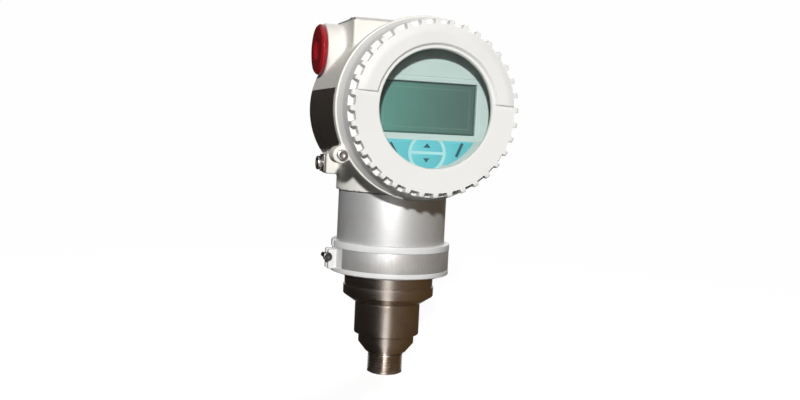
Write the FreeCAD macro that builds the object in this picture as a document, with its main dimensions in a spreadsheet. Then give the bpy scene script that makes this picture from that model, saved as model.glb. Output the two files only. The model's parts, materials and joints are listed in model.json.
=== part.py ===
import FreeCAD, Part
import math
import os
import re

import Sketcher

# Field pressure transmitter: a turned steel sensor with a male process thread, a steel neck with a tag
# ring, and a cast barrel housing that swivels on the neck. The barrel lies along Y with the display
# cover at -Y and the terminal cover at +Y. The origin is on the neck's axis at the shoulder where the
# process thread ends, and +Z points up the neck.

doc = FreeCAD.newDocument("pressure_transmitter")
sheet = doc.addObject("Spreadsheet::Sheet", "Sizes")

# ---------------------------------------------------------------- driving sizes, millimetres and degrees

SIZES = (
    # sensor, from the process thread upwards
    ("thread_r", 10.4775, "G 1/2 process thread, major radius"),
    ("thread_len", 13.2, "process thread, length"),
    ("thread_tip", 1.5, "chamfer at the thread's free end"),
    ("port_r", 3.0, "pressure port radius"),
    ("nose_small_r", 12.0, "lower radius of the nose cone"),
    ("nose_cone", 5.5, "height of the nose cone"),
    ("nose_r", 16.5, "nose radius"),
    ("nose_len", 4.5, "straight length of the nose"),
    ("shank_step", 1.2, "height of the step from nose to shank"),
    ("shank_r", 19.3, "shank radius"),
    ("shank_len", 19.1, "shank length"),
    ("collar_cone", 4.1, "height of the collar's lower cone"),
    ("collar_small_r", 20.8, "lower radius of the collar's cone"),
    ("collar_r", 26.8, "collar radius below the weld groove"),
    ("collar_lower", 5.4, "straight length below the weld groove"),
    ("weld_w", 1.0, "weld groove width"),
    ("weld_depth", 0.8, "weld groove depth"),
    ("collar_top_r", 26.2, "collar radius above the weld groove"),
    ("collar_upper", 6.0, "straight length above the weld groove"),
    ("cell_r", 15.0, "bore that holds the pressure cell"),
    ("joint_len", 5.0, "depth of the body's spigot in the collar"),
    ("gasket_t", 1.0, "thickness of flat gaskets"),
    ("cell_len", 8.5, "pressure cell length"),
    ("header_r", 8.0, "pressure cell header radius"),
    ("header_len", 4.0, "pressure cell header length"),
    ("fit_gap", 0.05, "radial clearance of fitted and threaded joints"),
    ("run_out", 1.0, "run-out of threads, cuts and overlaps"),
    ("key_share", 0.45, "hexagon recess radius, as a share of its screw's"),
    ("key_floor", 0.4, "floor of that recess, as a share of the head's height"),
    # neck
    ("neck_r", 31.8, "neck radius"),
    ("neck_len", 48.2, "neck length"),
    ("can_wall", 2.2, "neck wall"),
    ("can_floor", 3.0, "neck floor thickness"),
    ("can_hole_r", 22.0, "hole in the neck's floor"),
    ("cap_t", 4.2, "neck cap thickness"),
    ("swivel_r", 18.0, "swivel spigot radius"),
    ("swivel_len", 11.0, "swivel spigot length"),
    ("stop_drop", 3.3, "stop screw height above the socket's rim"),
    ("stop_r", 2.5, "stop screw thread radius"),
    ("stop_groove", 1.8, "depth of the swivel's stop groove"),
    ("cable_r", 2.0, "sensor cable radius"),
    ("cable_hole_r", 3.0, "cable hole radius"),
    ("board_t", 1.6, "circuit board thickness"),
    ("sensor_board_r", 24.0, "sensor board radius"),
    ("sensor_board_rise", 19.0, "sensor board height above the neck's floor"),
    ("post_r", 2.0, "board post radius"),
    # tag ring
    ("ring_lift", 0.3, "tag ring height above the neck's lower edge"),
    ("ring_len", 19.5, "tag ring height"),
    ("ring_r", 35.0, "tag ring outer radius"),
    ("ring_recess", 0.7, "depth of the tag plate's recess"),
    ("ring_lower_lip", 1.3, "lower lip of the tag ring"),
    ("ring_upper_lip", 4.4, "upper lip of the tag ring"),
    ("ring_gap", 2.5, "gap in the tag ring"),
    ("ear_reach", 43.5, "reach of the clamping ears from the neck's axis"),
    ("ear_t", 3.5, "thickness of a clamping ear"),
    ("ear_len", 14.0, "height of a clamping ear"),
    ("plate_t", 0.5, "thickness of the curved plates"),
    ("tag_start", 201.0, "angle where the tag plate starts"),
    ("tag_sweep", 179.0, "angle covered by the tag plate"),
    # housing barrel, along Y
    ("socket_gap", 0.5, "gap between the neck's shoulder and the housing"),
    ("socket_r", 33.5, "neck socket outer radius"),
    ("socket_depth", 12.0, "depth of the swivel bore"),
    ("socket_wall", 4.0, "wall round and over the swivel bore"),
    ("barrel_drop", 47.3, "barrel axis height above the socket's rim"),
    ("body_r", 46.0, "barrel radius"),
    ("flange_r", 49.8, "front flange radius"),
    ("flange_t", 5.0, "front flange thickness"),
    ("front_reach", 50.0, "front flange face, distance from the neck's axis"),
    ("rear_reach", 28.0, "rear face, distance from the neck's axis"),
    ("front_thread_r", 43.0, "front cover thread radius"),
    ("front_thread_len", 9.0, "front cover thread length"),
    ("rear_thread_r", 37.5, "rear cover thread radius"),
    ("rear_thread_len", 6.0, "rear cover thread length"),
    ("room_step", 1.5, "room radius, less than the thread's by this"),
    ("wall_y", 3.5, "front face of the dividing wall, behind the neck's axis"),
    ("wall_t", 4.0, "dividing wall thickness"),
    # top block with the conduit entries
    ("block_half", 32.0, "half width of the top block"),
    ("block_front", 15.0, "front face of the top block, ahead of the neck's axis"),
    ("block_top", 49.5, "top face height above the barrel's axis"),
    ("block_base", 18.0, "lower end of the top block above the barrel's axis"),
    ("block_corner", 4.0, "corner radius of the top block"),
    ("boss_r", 15.3, "conduit boss radius"),
    ("spot_margin", 0.6, "width of the spot face round a conduit boss"),
    ("boss_reach", 42.4, "conduit boss face, distance from the neck's axis"),
    ("conduit_y", 16.0, "conduit axis, distance behind the neck's axis"),
    ("conduit_rise", 33.4, "conduit axis height above the barrel's axis"),
    ("conduit_r", 9.188, "M20 x 1.5 conduit thread, minor radius"),
    ("conduit_len", 12.0, "conduit thread depth"),
    ("passage_r", 7.0, "radius of the passage behind the conduit thread"),
    ("passage_len", 22.0, "length of that passage"),
    # lugs and screws on the housing
    ("lock_offset", 3.1, "cover lock screw axis, outside the cover's seat"),
    ("lug_r", 4.6, "lock lug radius"),
    ("lug_len", 10.0, "lock lug length"),
    ("front_lock_angle", 210.0, "angle of the front lock lug about the barrel"),
    ("rear_lock_angle", 320.0, "angle of the rear lock lug about the barrel"),
    ("lock_head_r", 2.75, "lock screw head radius"),
    ("lock_head", 3.0, "lock screw head height"),
    ("lock_thread_r", 1.5, "lock screw thread radius"),
    ("lock_thread", 8.0, "lock screw thread length"),
    ("earth_reach", 41.0, "face of the earth lug, distance from the neck's axis"),
    ("earth_y", 5.0, "earth screw axis, distance behind the neck's axis"),
    ("earth_drop", 32.5, "earth screw axis below the barrel's axis"),
    ("earth_size", 12.0, "side of the square earth lug"),
    ("earth_thread_r", 2.0, "earth screw thread radius"),
    ("earth_head_r", 4.0, "earth screw head radius"),
    ("earth_head", 3.0, "earth screw head height"),
    ("clamp_t", 1.5, "earth clamp thickness"),
    ("clamp_margin", 1.0, "margin of the earth lug round its clamp"),
    ("side_angle", 12.0, "upper edge of the side plate above the barrel's axis"),
    ("side_sweep", 44.0, "angle covered by the side plate"),
    ("side_front", 38.0, "front edge of the side plate, ahead of the neck's axis"),
    ("side_len", 63.0, "side plate length"),
    # covers
    ("front_cover_r", 46.5, "front cover radius at its rim"),
    ("front_cover_len", 20.0, "front cover height above its seat"),
    ("skirt_r", 49.0, "front cover radius at its seat"),
    ("skirt_len", 12.0, "height over which the front cover narrows from its seat"),
    ("rear_cover_r", 41.5, "rear cover radius"),
    ("rear_cover_len", 14.0, "rear cover height above its seat"),
    ("cover_wall", 4.0, "wall of the covers"),
    ("cover_chamfer", 3.0, "chamfer round the covers"),
    ("seat_gap", 0.1, "gap under the covers' rims"),
    ("notch_count", 36, "notches round a cover"),
    ("notch_w", 5.2, "notch width"),
    ("notch_depth", 2.3, "notch depth from the rim"),
    ("notch_len", 4.5, "notch length along the cover"),
    ("window_r", 31.0, "window radius"),
    ("window_lip", 4.0, "thickness of the lip in front of the glass"),
    ("lip_w", 1.8, "width of the raised lip round the window"),
    ("recess_step", 5.5, "lower end of the face recess above the barrel's axis"),
    ("recess_rim", 4.2, "rim left outside the face recess"),
    ("recess_depth", 1.8, "depth of the face recess"),
    ("cover_turn", -2.8, "angle at which the front cover has come tight"),
    ("glass_r", 37.5, "window glass radius"),
    ("glass_t", 7.0, "window glass thickness"),
    ("seal_w", 6.2, "width of the window seal"),
    ("holder_t", 2.4, "glass retaining ring thickness"),
    ("holder_r", 35.7, "glass retaining ring inner radius"),
    ("cord_r", 0.8, "O-ring cord radius"),
    ("cord_gap", 0.15, "room round an O-ring in its groove"),
    # display and electronics, in the front room
    ("display_r", 36.5, "display frame radius"),
    ("display_gap", 0.6, "gap between the retaining ring and the display"),
    ("display_t", 6.0, "display frame depth"),
    ("display_face", 2.0, "thickness of the display frame's face"),
    ("lcd_w", 55.0, "width of the display window"),
    ("lcd_h", 27.5, "height of the display window"),
    ("lcd_rise", 0.75, "display window centre above the barrel's axis"),
    ("lcd_margin", 2.5, "overlap of the display glass behind its window"),
    ("lcd_t", 2.2, "display glass thickness"),
    ("keys_r", 34.5, "key film radius"),
    ("keys_drop", 15.1, "upper edge of the key film below the barrel's axis"),
    ("keys_t", 0.3, "key film thickness"),
    ("can_r", 30.0, "electronics can radius"),
    ("board_r", 38.5, "main board radius"),
    ("board_y", 25.6, "front face of the main board, ahead of the neck's axis"),
    ("stud_r", 3.0, "radius of the cast board studs"),
    ("stud_ring", 35.0, "pitch radius of the board studs"),
    ("screw_r", 1.5, "M3 screw thread radius"),
    ("screw_head_r", 2.75, "M3 screw head radius"),
    ("screw_head", 1.8, "M3 screw head height"),
    ("plug_half", 7.0, "half width of the sensor cable's connector"),
    ("plug_h", 8.0, "height of the sensor cable's connector"),
    ("plug_drop", 22.0, "lower face of the connector below the barrel's axis"),
    # terminals, in the rear room
    ("terminal_r", 34.0, "terminal block radius"),
    ("terminal_t", 8.0, "terminal block thickness"),
    ("terminal_top", 20.0, "upper end of the terminal block above the axis"),
    ("terminal_base", 29.0, "lower end of the terminal block below the axis"),
    ("terminal_pitch", 15.0, "terminal pitch"),
    ("terminal_head_r", 4.0, "terminal screw head radius"),
    ("terminal_head", 2.5, "terminal screw head height"),
    ("barrier_t", 2.0, "thickness of the barriers between the terminals"),
    ("barrier_h", 4.5, "height of those barriers"),
    ("bushing_r", 5.0, "feedthrough radius"),
    ("bushing_x", 16.0, "feedthrough axis, beside the neck's axis"),
    ("bushing_len", 9.0, "feedthrough length"),
    ("ground_x", 20.0, "internal earth screw, beside the neck's axis"),
    ("ground_rise", 24.0, "internal earth screw above the barrel's axis"),
    # name plate and push buttons, on the top block
    ("name_half", 31.0, "half length of the name plate"),
    ("name_margin", 1.5, "margin of the name plate at front and rear"),
    ("name_t", 1.0, "name plate thickness"),
    ("name_screw_x", 26.5, "name plate screw, beside the neck's axis"),
    ("name_gap", 0.05, "clearance above and below the name plate"),
    ("slot_gap", 0.3, "clearance of the name plate on its screws"),
    ("slot_sweep", 40.0, "angle covered by the name plate's open slot"),
    ("button_r", 3.0, "push button radius"),
    ("button_pitch", 12.0, "push button pitch"),
    ("button_y", 6.0, "push buttons, distance behind the neck's axis"),
    ("button_gap", 0.1, "radial clearance of a push button"),
    ("well_depth", 6.0, "depth of a push button's well"),
    ("button_len", 3.2, "push button length"),
    ("button_collar", 1.9, "height of a push button's collar"),
    ("button_tip_r", 2.1, "push button tip radius"),
    ("button_drop", 0.6, "top of a push button below the block's face"),
    # conduit plug
    ("cap_r", 14.7, "conduit plug head radius"),
    ("cap_head", 3.6, "conduit plug head thickness"),
    ("cap_round", 1.2, "chamfer of the conduit plug's head"),
    ("cap_dish_r", 6.6, "radius of the dish in the conduit plug's head"),
    ("cap_plug_len", 8.0, "conduit plug shank length"),
    ("cap_plug_wall", 1.6, "conduit plug shank wall"),
)

for row, (alias, number, meaning) in enumerate(SIZES, start=1):
    sheet.set("A%d" % row, meaning)
    sheet.set("B%d" % row, str(number))
    sheet.setAlias("B%d" % row, alias)
doc.recompute()

ALIASES = {alias for alias, number, meaning in SIZES}


def size(expression):
    """The expression with each size's name turned into its cell in the sheet."""
    def cell(word):
        return "Sizes." + word.group() if word.group() in ALIASES else word.group()
    return re.sub(r"[a-z][a-z_]*", cell, expression)


def value(expression):
    return float(sheet.evalExpression(size(expression)))


# Heights above the shoulder of the process thread, as expressions of the sizes.
NOSE_Z = "nose_cone"
SHANK_Z = NOSE_Z + " + nose_len + shank_step"
COLLAR_Z = SHANK_Z + " + shank_len"
SEAM_Z = COLLAR_Z + " + collar_cone + collar_lower"
CAN_Z = SEAM_Z + " + weld_w + collar_upper"
FLOOR_Z = CAN_Z + " + can_floor"
SHOULDER_Z = CAN_Z + " + neck_len"
RIM_Z = SHOULDER_Z + " + socket_gap"
AXIS_Z = RIM_Z + " + barrel_drop"
TOP_Z = AXIS_Z + " + block_top"
CELL_Z = COLLAR_Z + " + joint_len + gasket_t"
# Distances along the barrel, positive towards the rear cover.
FRONT_ROOM_R = "front_thread_r - room_step"
REAR_ROOM_R = "rear_thread_r - room_step"
REAR_WALL_Y = "wall_y + wall_t"
GLASS_Y = "front_cover_len - window_lip - gasket_t"
DISPLAY_Y = "-front_reach - (" + GLASS_Y + " - glass_t - holder_t - display_gap)"
LCD_Y = DISPLAY_Y + " + display_face"

TURN_TO = {
    "x": "rotationy(90)",
    "-x": "rotationy(-90)",
    "y": "rotationx(-90)",
    "-y": "rotationx(90)",
    "z": "rotationz(0)",
}


TOLERANCE = 0.01


# ---------------------------------------------------------------- helpers

def bind(target, **expressions):
    """Bind properties to the sheet; a double underscore in a key stands for a dot."""
    for key, expression in expressions.items():
        target.setExpression(key.replace("__", "."), size(expression))
    return target


def place(target, at=("0", "0", "0"), axis="z", spin="0"):
    """Bind a placement that turns local +Z to an axis; spin turns about the local axis first."""
    position = "vector(%s; %s; %s)" % tuple(size(expression) for expression in at)
    turn = "%s * rotationz(%s)" % (TURN_TO[axis], size(spin))
    target.setExpression("Placement", "placement(%s; %s)" % (position, turn))
    return target


def rod(name, radius, length, at=("0", "0", "0"), axis="z"):
    solid = doc.addObject("Part::Cylinder", name)
    return place(bind(solid, Radius=radius, Height=length), at, axis)


def sector(name, radius, length, at, axis, start, sweep):
    solid = doc.addObject("Part::Cylinder", name)
    bind(solid, Radius=radius, Height=length, Angle=sweep)
    return place(solid, at, axis, start)


def box(name, corner, extent):
    solid = doc.addObject("Part::Box", name)
    bind(solid, Length=extent[0], Width=extent[1], Height=extent[2])
    return place(solid, corner)


def ring_of(name, radius, cord, at, axis):
    solid = doc.addObject("Part::Torus", name)
    return place(bind(solid, Radius1=radius, Radius2=cord), at, axis)


def fuse(name, shapes):
    result = doc.addObject("Part::MultiFuse", name)
    result.Shapes = shapes
    return result


def cut(name, base, *tools):
    result = doc.addObject("Part::Cut", name)
    result.Base = base
    result.Tool = tools[0] if len(tools) == 1 else fuse(name + "_tools", list(tools))
    return result


def common(name, base, tool):
    result = doc.addObject("Part::Common", name)
    result.Base = base
    result.Tool = tool
    return result


def group(name, shapes):
    result = doc.addObject("Part::Compound", name)
    result.Links = shapes
    return result


def new_sketch(body, name, role="XY_Plane"):
    sketch = body.newObject("Sketcher::SketchObject", name)
    plane = next(item for item in body.Origin.OriginFeatures if item.Role == role)
    sketch.AttachmentSupport = (plane, [""])
    sketch.MapMode = "FlatFace"
    return sketch


def pin_point(sketch, geometry, point, across, up):
    """Bind one point's distances from the sketch's origin."""
    for kind, expression in (("DistanceX", across), ("DistanceY", up)):
        index = sketch.addConstraint(
            Sketcher.Constraint(kind, -1, 1, geometry, point, value(expression)))
        sketch.setExpression("Constraints[%d]" % index, size(expression))


def outline(sketch, corners):
    """A closed outline of straight lines whose corners are bound to the sheet."""
    first = sketch.GeometryCount
    points = [FreeCAD.Vector(value(across), value(up), 0) for across, up in corners]
    count = len(points)
    for index in range(count):
        sketch.addGeometry(Part.LineSegment(points[index], points[(index + 1) % count]), False)
    for index in range(count):
        following = first + (index + 1) % count
        sketch.addConstraint(Sketcher.Constraint("Coincident", first + index, 2, following, 1))
    for index, (across, up) in enumerate(corners):
        pin_point(sketch, first + index, 1, across, up)


def circle(sketch, radius, across="0", up="0"):
    centre = FreeCAD.Vector(value(across), value(up), 0)
    index = sketch.addGeometry(
        Part.Circle(centre, FreeCAD.Vector(0, 0, 1), value(radius)), False)
    pin_point(sketch, index, 3, across, up)
    constraint = sketch.addConstraint(Sketcher.Constraint("Radius", index, value(radius)))
    sketch.setExpression("Constraints[%d]" % constraint, size(radius))


def turned(name, corners, at=("0", "0", "0"), axis="z"):
    """A body turned about its local Z axis from an outline of (radius, height) corners."""
    body = doc.addObject("PartDesign::Body", name)
    sketch = new_sketch(body, name + "_profile", "XZ_Plane")
    outline(sketch, corners)
    revolution = body.newObject("PartDesign::Revolution", name + "_turning")
    revolution.Profile = sketch
    revolution.ReferenceAxis = (sketch, ["V_Axis"])
    revolution.Angle = 360
    sketch.Visibility = False
    return place(body, at, axis)


def socket_screw(name, head_r, head, thread_r, thread, at, axis):
    """A cap screw whose head starts at the given point and whose thread runs the other way."""
    key = "(%s) * key_share" % head_r
    floor = "(%s) * key_floor" % head
    corners = (("0", "-(%s)" % thread), (thread_r, "-(%s)" % thread), (thread_r, "0"), (head_r, "0"),
               (head_r, head), (key, head), (key, floor), ("0", floor))
    return turned(name, corners, at, axis)


def around(radius, angle):
    """A point on the barrel's cross-section, as expressions."""
    across = "(%s) * cos(%s)" % (radius, angle)
    up = "%s + (%s) * sin(%s)" % (AXIS_Z, radius, angle)
    return across, up


# ---------------------------------------------------------------- sensor

def process_connection():
    top = COLLAR_Z + " + joint_len"
    return turned("process_connection", (
        ("port_r", "-thread_len"), ("thread_r - thread_tip", "-thread_len"),
        ("thread_r", "thread_tip - thread_len"), ("thread_r", "0"), ("nose_small_r", "0"),
        ("nose_r", NOSE_Z),
        ("nose_r", NOSE_Z + " + nose_len"), ("shank_r", SHANK_Z), ("shank_r", COLLAR_Z),
        ("cell_r", COLLAR_Z), ("cell_r", top), ("port_r", top)))


def sensor_collar():
    bore = "cell_r + fit_gap"
    return turned("sensor_collar", (
        (bore, COLLAR_Z), ("collar_small_r", COLLAR_Z), ("collar_r", COLLAR_Z + " + collar_cone"),
        ("collar_r", SEAM_Z), ("collar_r - weld_depth", SEAM_Z),
        ("collar_r - weld_depth", SEAM_Z + " + weld_w"), ("collar_top_r", SEAM_Z + " + weld_w"),
        ("collar_top_r", CAN_Z), ("can_hole_r - fit_gap", CAN_Z), ("can_hole_r - fit_gap", FLOOR_Z),
        (bore, FLOOR_Z)))


def pressure_cell():
    top = CELL_Z + " + cell_len"
    return turned("pressure_cell", (
        ("0", CELL_Z), ("cell_r - fit_gap", CELL_Z), ("cell_r - fit_gap", top), ("header_r", top),
        ("header_r", top + " + header_len"), ("0", top + " + header_len")))


def cell_gasket():
    base = COLLAR_Z + " + joint_len"
    disc = rod("cell_gasket_disc", "cell_r - fit_gap", "gasket_t", ("0", "0", base))
    hole = rod("cell_gasket_hole", "header_r", "gasket_t", ("0", "0", base))
    return cut("cell_gasket", disc, hole)


def cell_lock_ring():
    base = CELL_Z + " + cell_len"
    disc = rod("cell_lock_disc", "cell_r", FLOOR_Z + " - (" + base + ")", ("0", "0", base))
    hole = rod("cell_lock_hole", "header_r + fit_gap", "can_floor + joint_len", ("0", "0", base))
    return cut("cell_lock_ring", disc, hole)


def cell_lead():
    base = CELL_Z + " + cell_len + header_len"
    height = FLOOR_Z + " + sensor_board_rise - (" + base + ")"
    return box("cell_lead", ("-header_r / 2", "header_r / 3", base), ("header_r", "plate_t", height))


def sensor_neck():
    inside = "neck_r - can_wall"
    return turned("sensor_neck", (
        ("can_hole_r", CAN_Z), ("neck_r", CAN_Z), ("neck_r", SHOULDER_Z), (inside, SHOULDER_Z),
        (inside, FLOOR_Z), ("can_hole_r", FLOOR_Z)))


def neck_cap():
    """The can's lid, with the spigot on which the housing swivels, its stop groove and seal groove."""
    stop_low = RIM_Z + " + stop_drop - stop_r - cord_gap"
    stop_high = RIM_Z + " + stop_drop + stop_r + cord_gap"
    seal_low = stop_high + " + cord_r"
    seal_high = seal_low + " + 2 * (cord_r + cord_gap)"
    seal_floor = "swivel_r - 2 * cord_r"
    top = SHOULDER_Z + " + swivel_len"
    return turned("neck_cap", (
        ("cable_hole_r", SHOULDER_Z + " - cap_t"), ("neck_r - can_wall - fit_gap", SHOULDER_Z + " - cap_t"),
        ("neck_r - can_wall - fit_gap", SHOULDER_Z), ("swivel_r", SHOULDER_Z), ("swivel_r", stop_low),
        ("swivel_r - stop_groove", stop_low), ("swivel_r - stop_groove", stop_high),
        ("swivel_r", stop_high), ("swivel_r", seal_low), (seal_floor, seal_low),
        (seal_floor, seal_high), ("swivel_r", seal_high), ("swivel_r", top), ("cable_hole_r", top)))


def neck_oring():
    middle = RIM_Z + " + stop_drop + stop_r + 2 * (cord_r + cord_gap)"
    return ring_of("neck_oring", "swivel_r - cord_r", "cord_r", ("0", "0", middle), "z")


def board_posts():
    posts = []
    for index in range(3):
        angle = 90 + 120 * index
        across = "(sensor_board_r - 2 * post_r) * cos(%d)" % angle
        along = "(sensor_board_r - 2 * post_r) * sin(%d)" % angle
        posts.append(rod("board_post_%d" % (index + 1), "post_r", "sensor_board_rise",
                         (across, along, FLOOR_Z)))
    return group("board_posts", posts)


def sensor_board():
    return rod("sensor_board", "sensor_board_r", "board_t", ("0", "0", FLOOR_Z + " + sensor_board_rise"))


def sensor_cable():
    base = FLOOR_Z + " + sensor_board_rise + board_t"
    length = AXIS_Z + " - plug_drop - seat_gap - (" + base + ")"
    return rod("sensor_cable", "cable_r", length, ("0", "0", base))


def tag_ring():
    """A clamp ring round the neck with a recess for the tag plate and two ears for its screw."""
    inside = "neck_r + fit_gap"
    base = CAN_Z + " + ring_lift"
    top = base + " + ring_len"
    band = turned("tag_band", (
        (inside, base), ("ring_r", base), ("ring_r", base + " + ring_lower_lip"),
        ("ring_r - ring_recess", base + " + ring_lower_lip"),
        ("ring_r - ring_recess", top + " - ring_upper_lip"), ("ring_r", top + " - ring_upper_lip"),
        ("ring_r", top), (inside, top)))
    ear_z = base + " + (ring_len - ear_len) / 2"
    ears = box("tag_ears", ("-ear_reach", "-ring_gap / 2 - ear_t", ear_z),
               ("ear_reach - neck_r - run_out", "ring_gap + 2 * ear_t", "ear_len"))
    gap = box("tag_gap", ("-ear_reach", "-ring_gap / 2", base),
              ("ear_reach - neck_r + run_out", "ring_gap", "ring_len"))
    hole = rod("tag_screw_hole", "screw_r + fit_gap", "ring_gap + 2 * ear_t",
               ("(-ear_reach - ring_r) / 2", "-ring_gap / 2 - ear_t", base + " + ring_len / 2"), "y")
    return cut("tag_ring", fuse("tag_ring_blank", [band, ears]), gap, hole)


def tag_ring_screw():
    at = ("(-ear_reach - ring_r) / 2", "-ring_gap / 2 - ear_t", CAN_Z + " + ring_lift + ring_len / 2")
    return socket_screw("tag_ring_screw", "screw_head_r", "screw_head", "screw_r",
                        "ring_gap + 2 * ear_t + plate_t", at, "-y")


def tag_plate():
    at = ("0", "0", CAN_Z + " + ring_lift + ring_lower_lip")
    length = "ring_len - ring_lower_lip - ring_upper_lip"
    outer = sector("tag_plate_outer", "ring_r - ring_recess + plate_t", length, at, "z", "tag_start",
                   "tag_sweep")
    inner = rod("tag_plate_inner", "ring_r - ring_recess", length, at)
    return cut("tag_plate", outer, inner)


# ---------------------------------------------------------------- housing

def board_stud_points():
    return [around("stud_ring", angle) for angle in ("90", "210", "330")]


def top_block():
    """The block on the barrel that carries the conduit entries, with rounded upright edges."""
    body = doc.addObject("PartDesign::Body", "top_block")
    sketch = new_sketch(body, "block_outline")
    outline(sketch, (("-block_half", "-block_front"), ("block_half", "-block_front"),
                     ("block_half", "rear_reach"), ("-block_half", "rear_reach")))
    pad = body.newObject("PartDesign::Pad", "block_pad")
    pad.Profile = sketch
    bind(pad, Length="block_top - block_base")
    doc.recompute()
    upright = ["Edge%d" % (index + 1) for index, edge in enumerate(pad.Shape.Edges)
               if math.isclose(edge.BoundBox.ZLength, pad.Length.Value, abs_tol=TOLERANCE)]
    corners = body.newObject("PartDesign::Fillet", "block_corners")
    corners.Base = (pad, upright)
    bind(corners, Radius="block_corner")
    body.Tip = corners
    return place(body, ("0", "0", AXIS_Z + " + block_base"))


def housing():
    """The casting: barrel, flange, neck socket, top block and lugs, with its rooms and bores."""
    barrel_len = "front_reach + rear_reach"
    barrel = rod("barrel", "body_r", barrel_len, ("0", "-front_reach", AXIS_Z), "y")
    flange = rod("flange", "flange_r", "flange_t", ("0", "-front_reach", AXIS_Z), "y")
    socket = rod("socket", "socket_r", "barrel_drop", ("0", "0", RIM_Z))
    bosses = rod("conduit_bosses", "boss_r", "2 * boss_reach",
                 ("-boss_reach", "conduit_y", AXIS_Z + " + conduit_rise"), "x")
    front_x, front_z = around("skirt_r + lock_offset", "front_lock_angle")
    front_lug = rod("front_lug", "lug_r", "lug_len", (front_x, "-front_reach", front_z), "y")
    rear_x, rear_z = around("rear_cover_r + lock_offset", "rear_lock_angle")
    rear_lug = rod("rear_lug", "lug_r", "lug_len", (rear_x, "rear_reach - lug_len", rear_z), "y")
    earth_lug = box("earth_lug", ("-earth_reach", "earth_y - earth_size / 2",
                                  AXIS_Z + " - earth_drop - earth_size / 2"),
                    ("earth_reach - swivel_r - socket_wall", "earth_size", "earth_size"))
    outside = fuse("casting_outside", [barrel, flange, socket, top_block(), bosses, front_lug,
                                       rear_lug, earth_lug])

    front_room = rod("front_room", FRONT_ROOM_R, "front_reach + wall_y", ("0", "-front_reach", AXIS_Z),
                     "y")
    rear_room = rod("rear_room", REAR_ROOM_R, "rear_reach - (" + REAR_WALL_Y + ")",
                    ("0", REAR_WALL_Y, AXIS_Z), "y")
    shell = cut("casting_shell", outside, front_room, rear_room)

    neck_boss = rod("neck_boss", "swivel_r + socket_wall", "socket_depth + socket_wall",
                    ("0", "0", RIM_Z))
    studs = [rod("board_stud_%d" % (index + 1), "stud_r", "board_y - board_t + wall_y",
                 (x, "-board_y + board_t", z), "y")
             for index, (x, z) in enumerate(board_stud_points())]
    solid = fuse("casting_solid", [shell, neck_boss] + studs)

    tools = [
        rod("front_thread_bore", "front_thread_r + fit_gap", "front_thread_len + run_out",
            ("0", "-front_reach", AXIS_Z), "y"),
        rod("rear_thread_bore", "rear_thread_r + fit_gap", "rear_thread_len + run_out",
            ("0", "rear_reach - rear_thread_len - run_out", AXIS_Z), "y"),
        rod("rear_cover_room", "rear_cover_r + run_out", "socket_r", ("0", "rear_reach", AXIS_Z), "y"),
        rod("swivel_bore", "swivel_r + fit_gap", "socket_depth", ("0", "0", RIM_Z)),
        rod("cable_way", "cable_hole_r", "socket_depth + 2 * socket_wall", ("0", "0", RIM_Z)),
        rod("stop_bore", "stop_r", "socket_r", ("0", "0", RIM_Z + " + stop_drop"), "y"),
        rod("bushing_bore", "bushing_r", "3 * wall_t", ("bushing_x", "wall_y - wall_t",
                                                        AXIS_Z), "y"),
        rod("front_lock_bore", "lock_thread_r + fit_gap", "lock_thread + run_out",
            (front_x, "-front_reach", front_z), "y"),
        rod("rear_lock_bore", "lock_thread_r + fit_gap", "lock_thread + run_out",
            (rear_x, "rear_reach", rear_z), "-y"),
        rod("earth_bore", "earth_thread_r + fit_gap", "lock_thread + run_out",
            ("-earth_reach", "earth_y", AXIS_Z + " - earth_drop"), "x"),
        rod("ground_bore", "screw_r", "wall_t", ("ground_x", REAR_WALL_Y, AXIS_Z + " + ground_rise"),
            "-y"),
    ]
    for side, inwards, outwards in (("-", "x", "-x"), ("", "-x", "x")):
        at = (side + "boss_reach", "conduit_y", AXIS_Z + " + conduit_rise")
        tools += [rod("spot_face", "boss_r + spot_margin", "body_r - boss_reach", at, outwards),
                  rod("conduit_thread", "conduit_r", "conduit_len", at, inwards),
                  rod("conduit_way", "passage_r", "conduit_len + passage_len", at, inwards)]
    for x, z in board_stud_points():
        tools.append(rod("stud_bore", "screw_r", "wall_t + screw_head", (x, "-board_y + board_t", z), "y"))
    for offset in ("-button_pitch", "0", "button_pitch"):
        tools.append(rod("button_well", "button_r + button_gap", "well_depth",
                         (offset, "button_y", TOP_Z + " - well_depth")))
    for side in ("-", ""):
        tools.append(rod("name_screw_bore", "screw_r", "well_depth",
                         (side + "name_screw_x", "button_y", TOP_Z + " - well_depth")))
    return cut("housing", solid, *tools)


def neck_stop_screw():
    tip = "swivel_r - stop_groove + cord_gap * 2"
    height = RIM_Z + " + stop_drop"
    shaft = rod("stop_shaft", "stop_r - fit_gap", "rear_reach - (" + tip + ")", ("0", tip, height), "y")
    key = rod("stop_key", "stop_r * key_share", "stop_r", ("0", "rear_reach - stop_r", height), "y")
    return cut("neck_stop_screw", shaft, key)


def front_lock_screw():
    x, z = around("skirt_r + lock_offset", "front_lock_angle")
    return socket_screw("front_lock_screw", "lock_head_r", "lock_head", "lock_thread_r",
                        "lock_thread", (x, "-front_reach", z), "-y")


def rear_lock_screw():
    x, z = around("rear_cover_r + lock_offset", "rear_lock_angle")
    return socket_screw("rear_lock_screw", "lock_head_r", "lock_head", "lock_thread_r",
                        "lock_thread", (x, "rear_reach", z), "y")


def earth_clamp():
    side = "earth_size - 2 * clamp_margin"
    plate = box("earth_clamp_plate",
                ("-earth_reach - clamp_t", "earth_y - (%s) / 2" % side,
                 AXIS_Z + " - earth_drop - (%s) / 2" % side), ("clamp_t", side, side))
    hole = rod("earth_clamp_hole", "earth_thread_r + fit_gap", "clamp_t",
               ("-earth_reach - clamp_t", "earth_y", AXIS_Z + " - earth_drop"), "x")
    return cut("earth_clamp", plate, hole)


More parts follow.
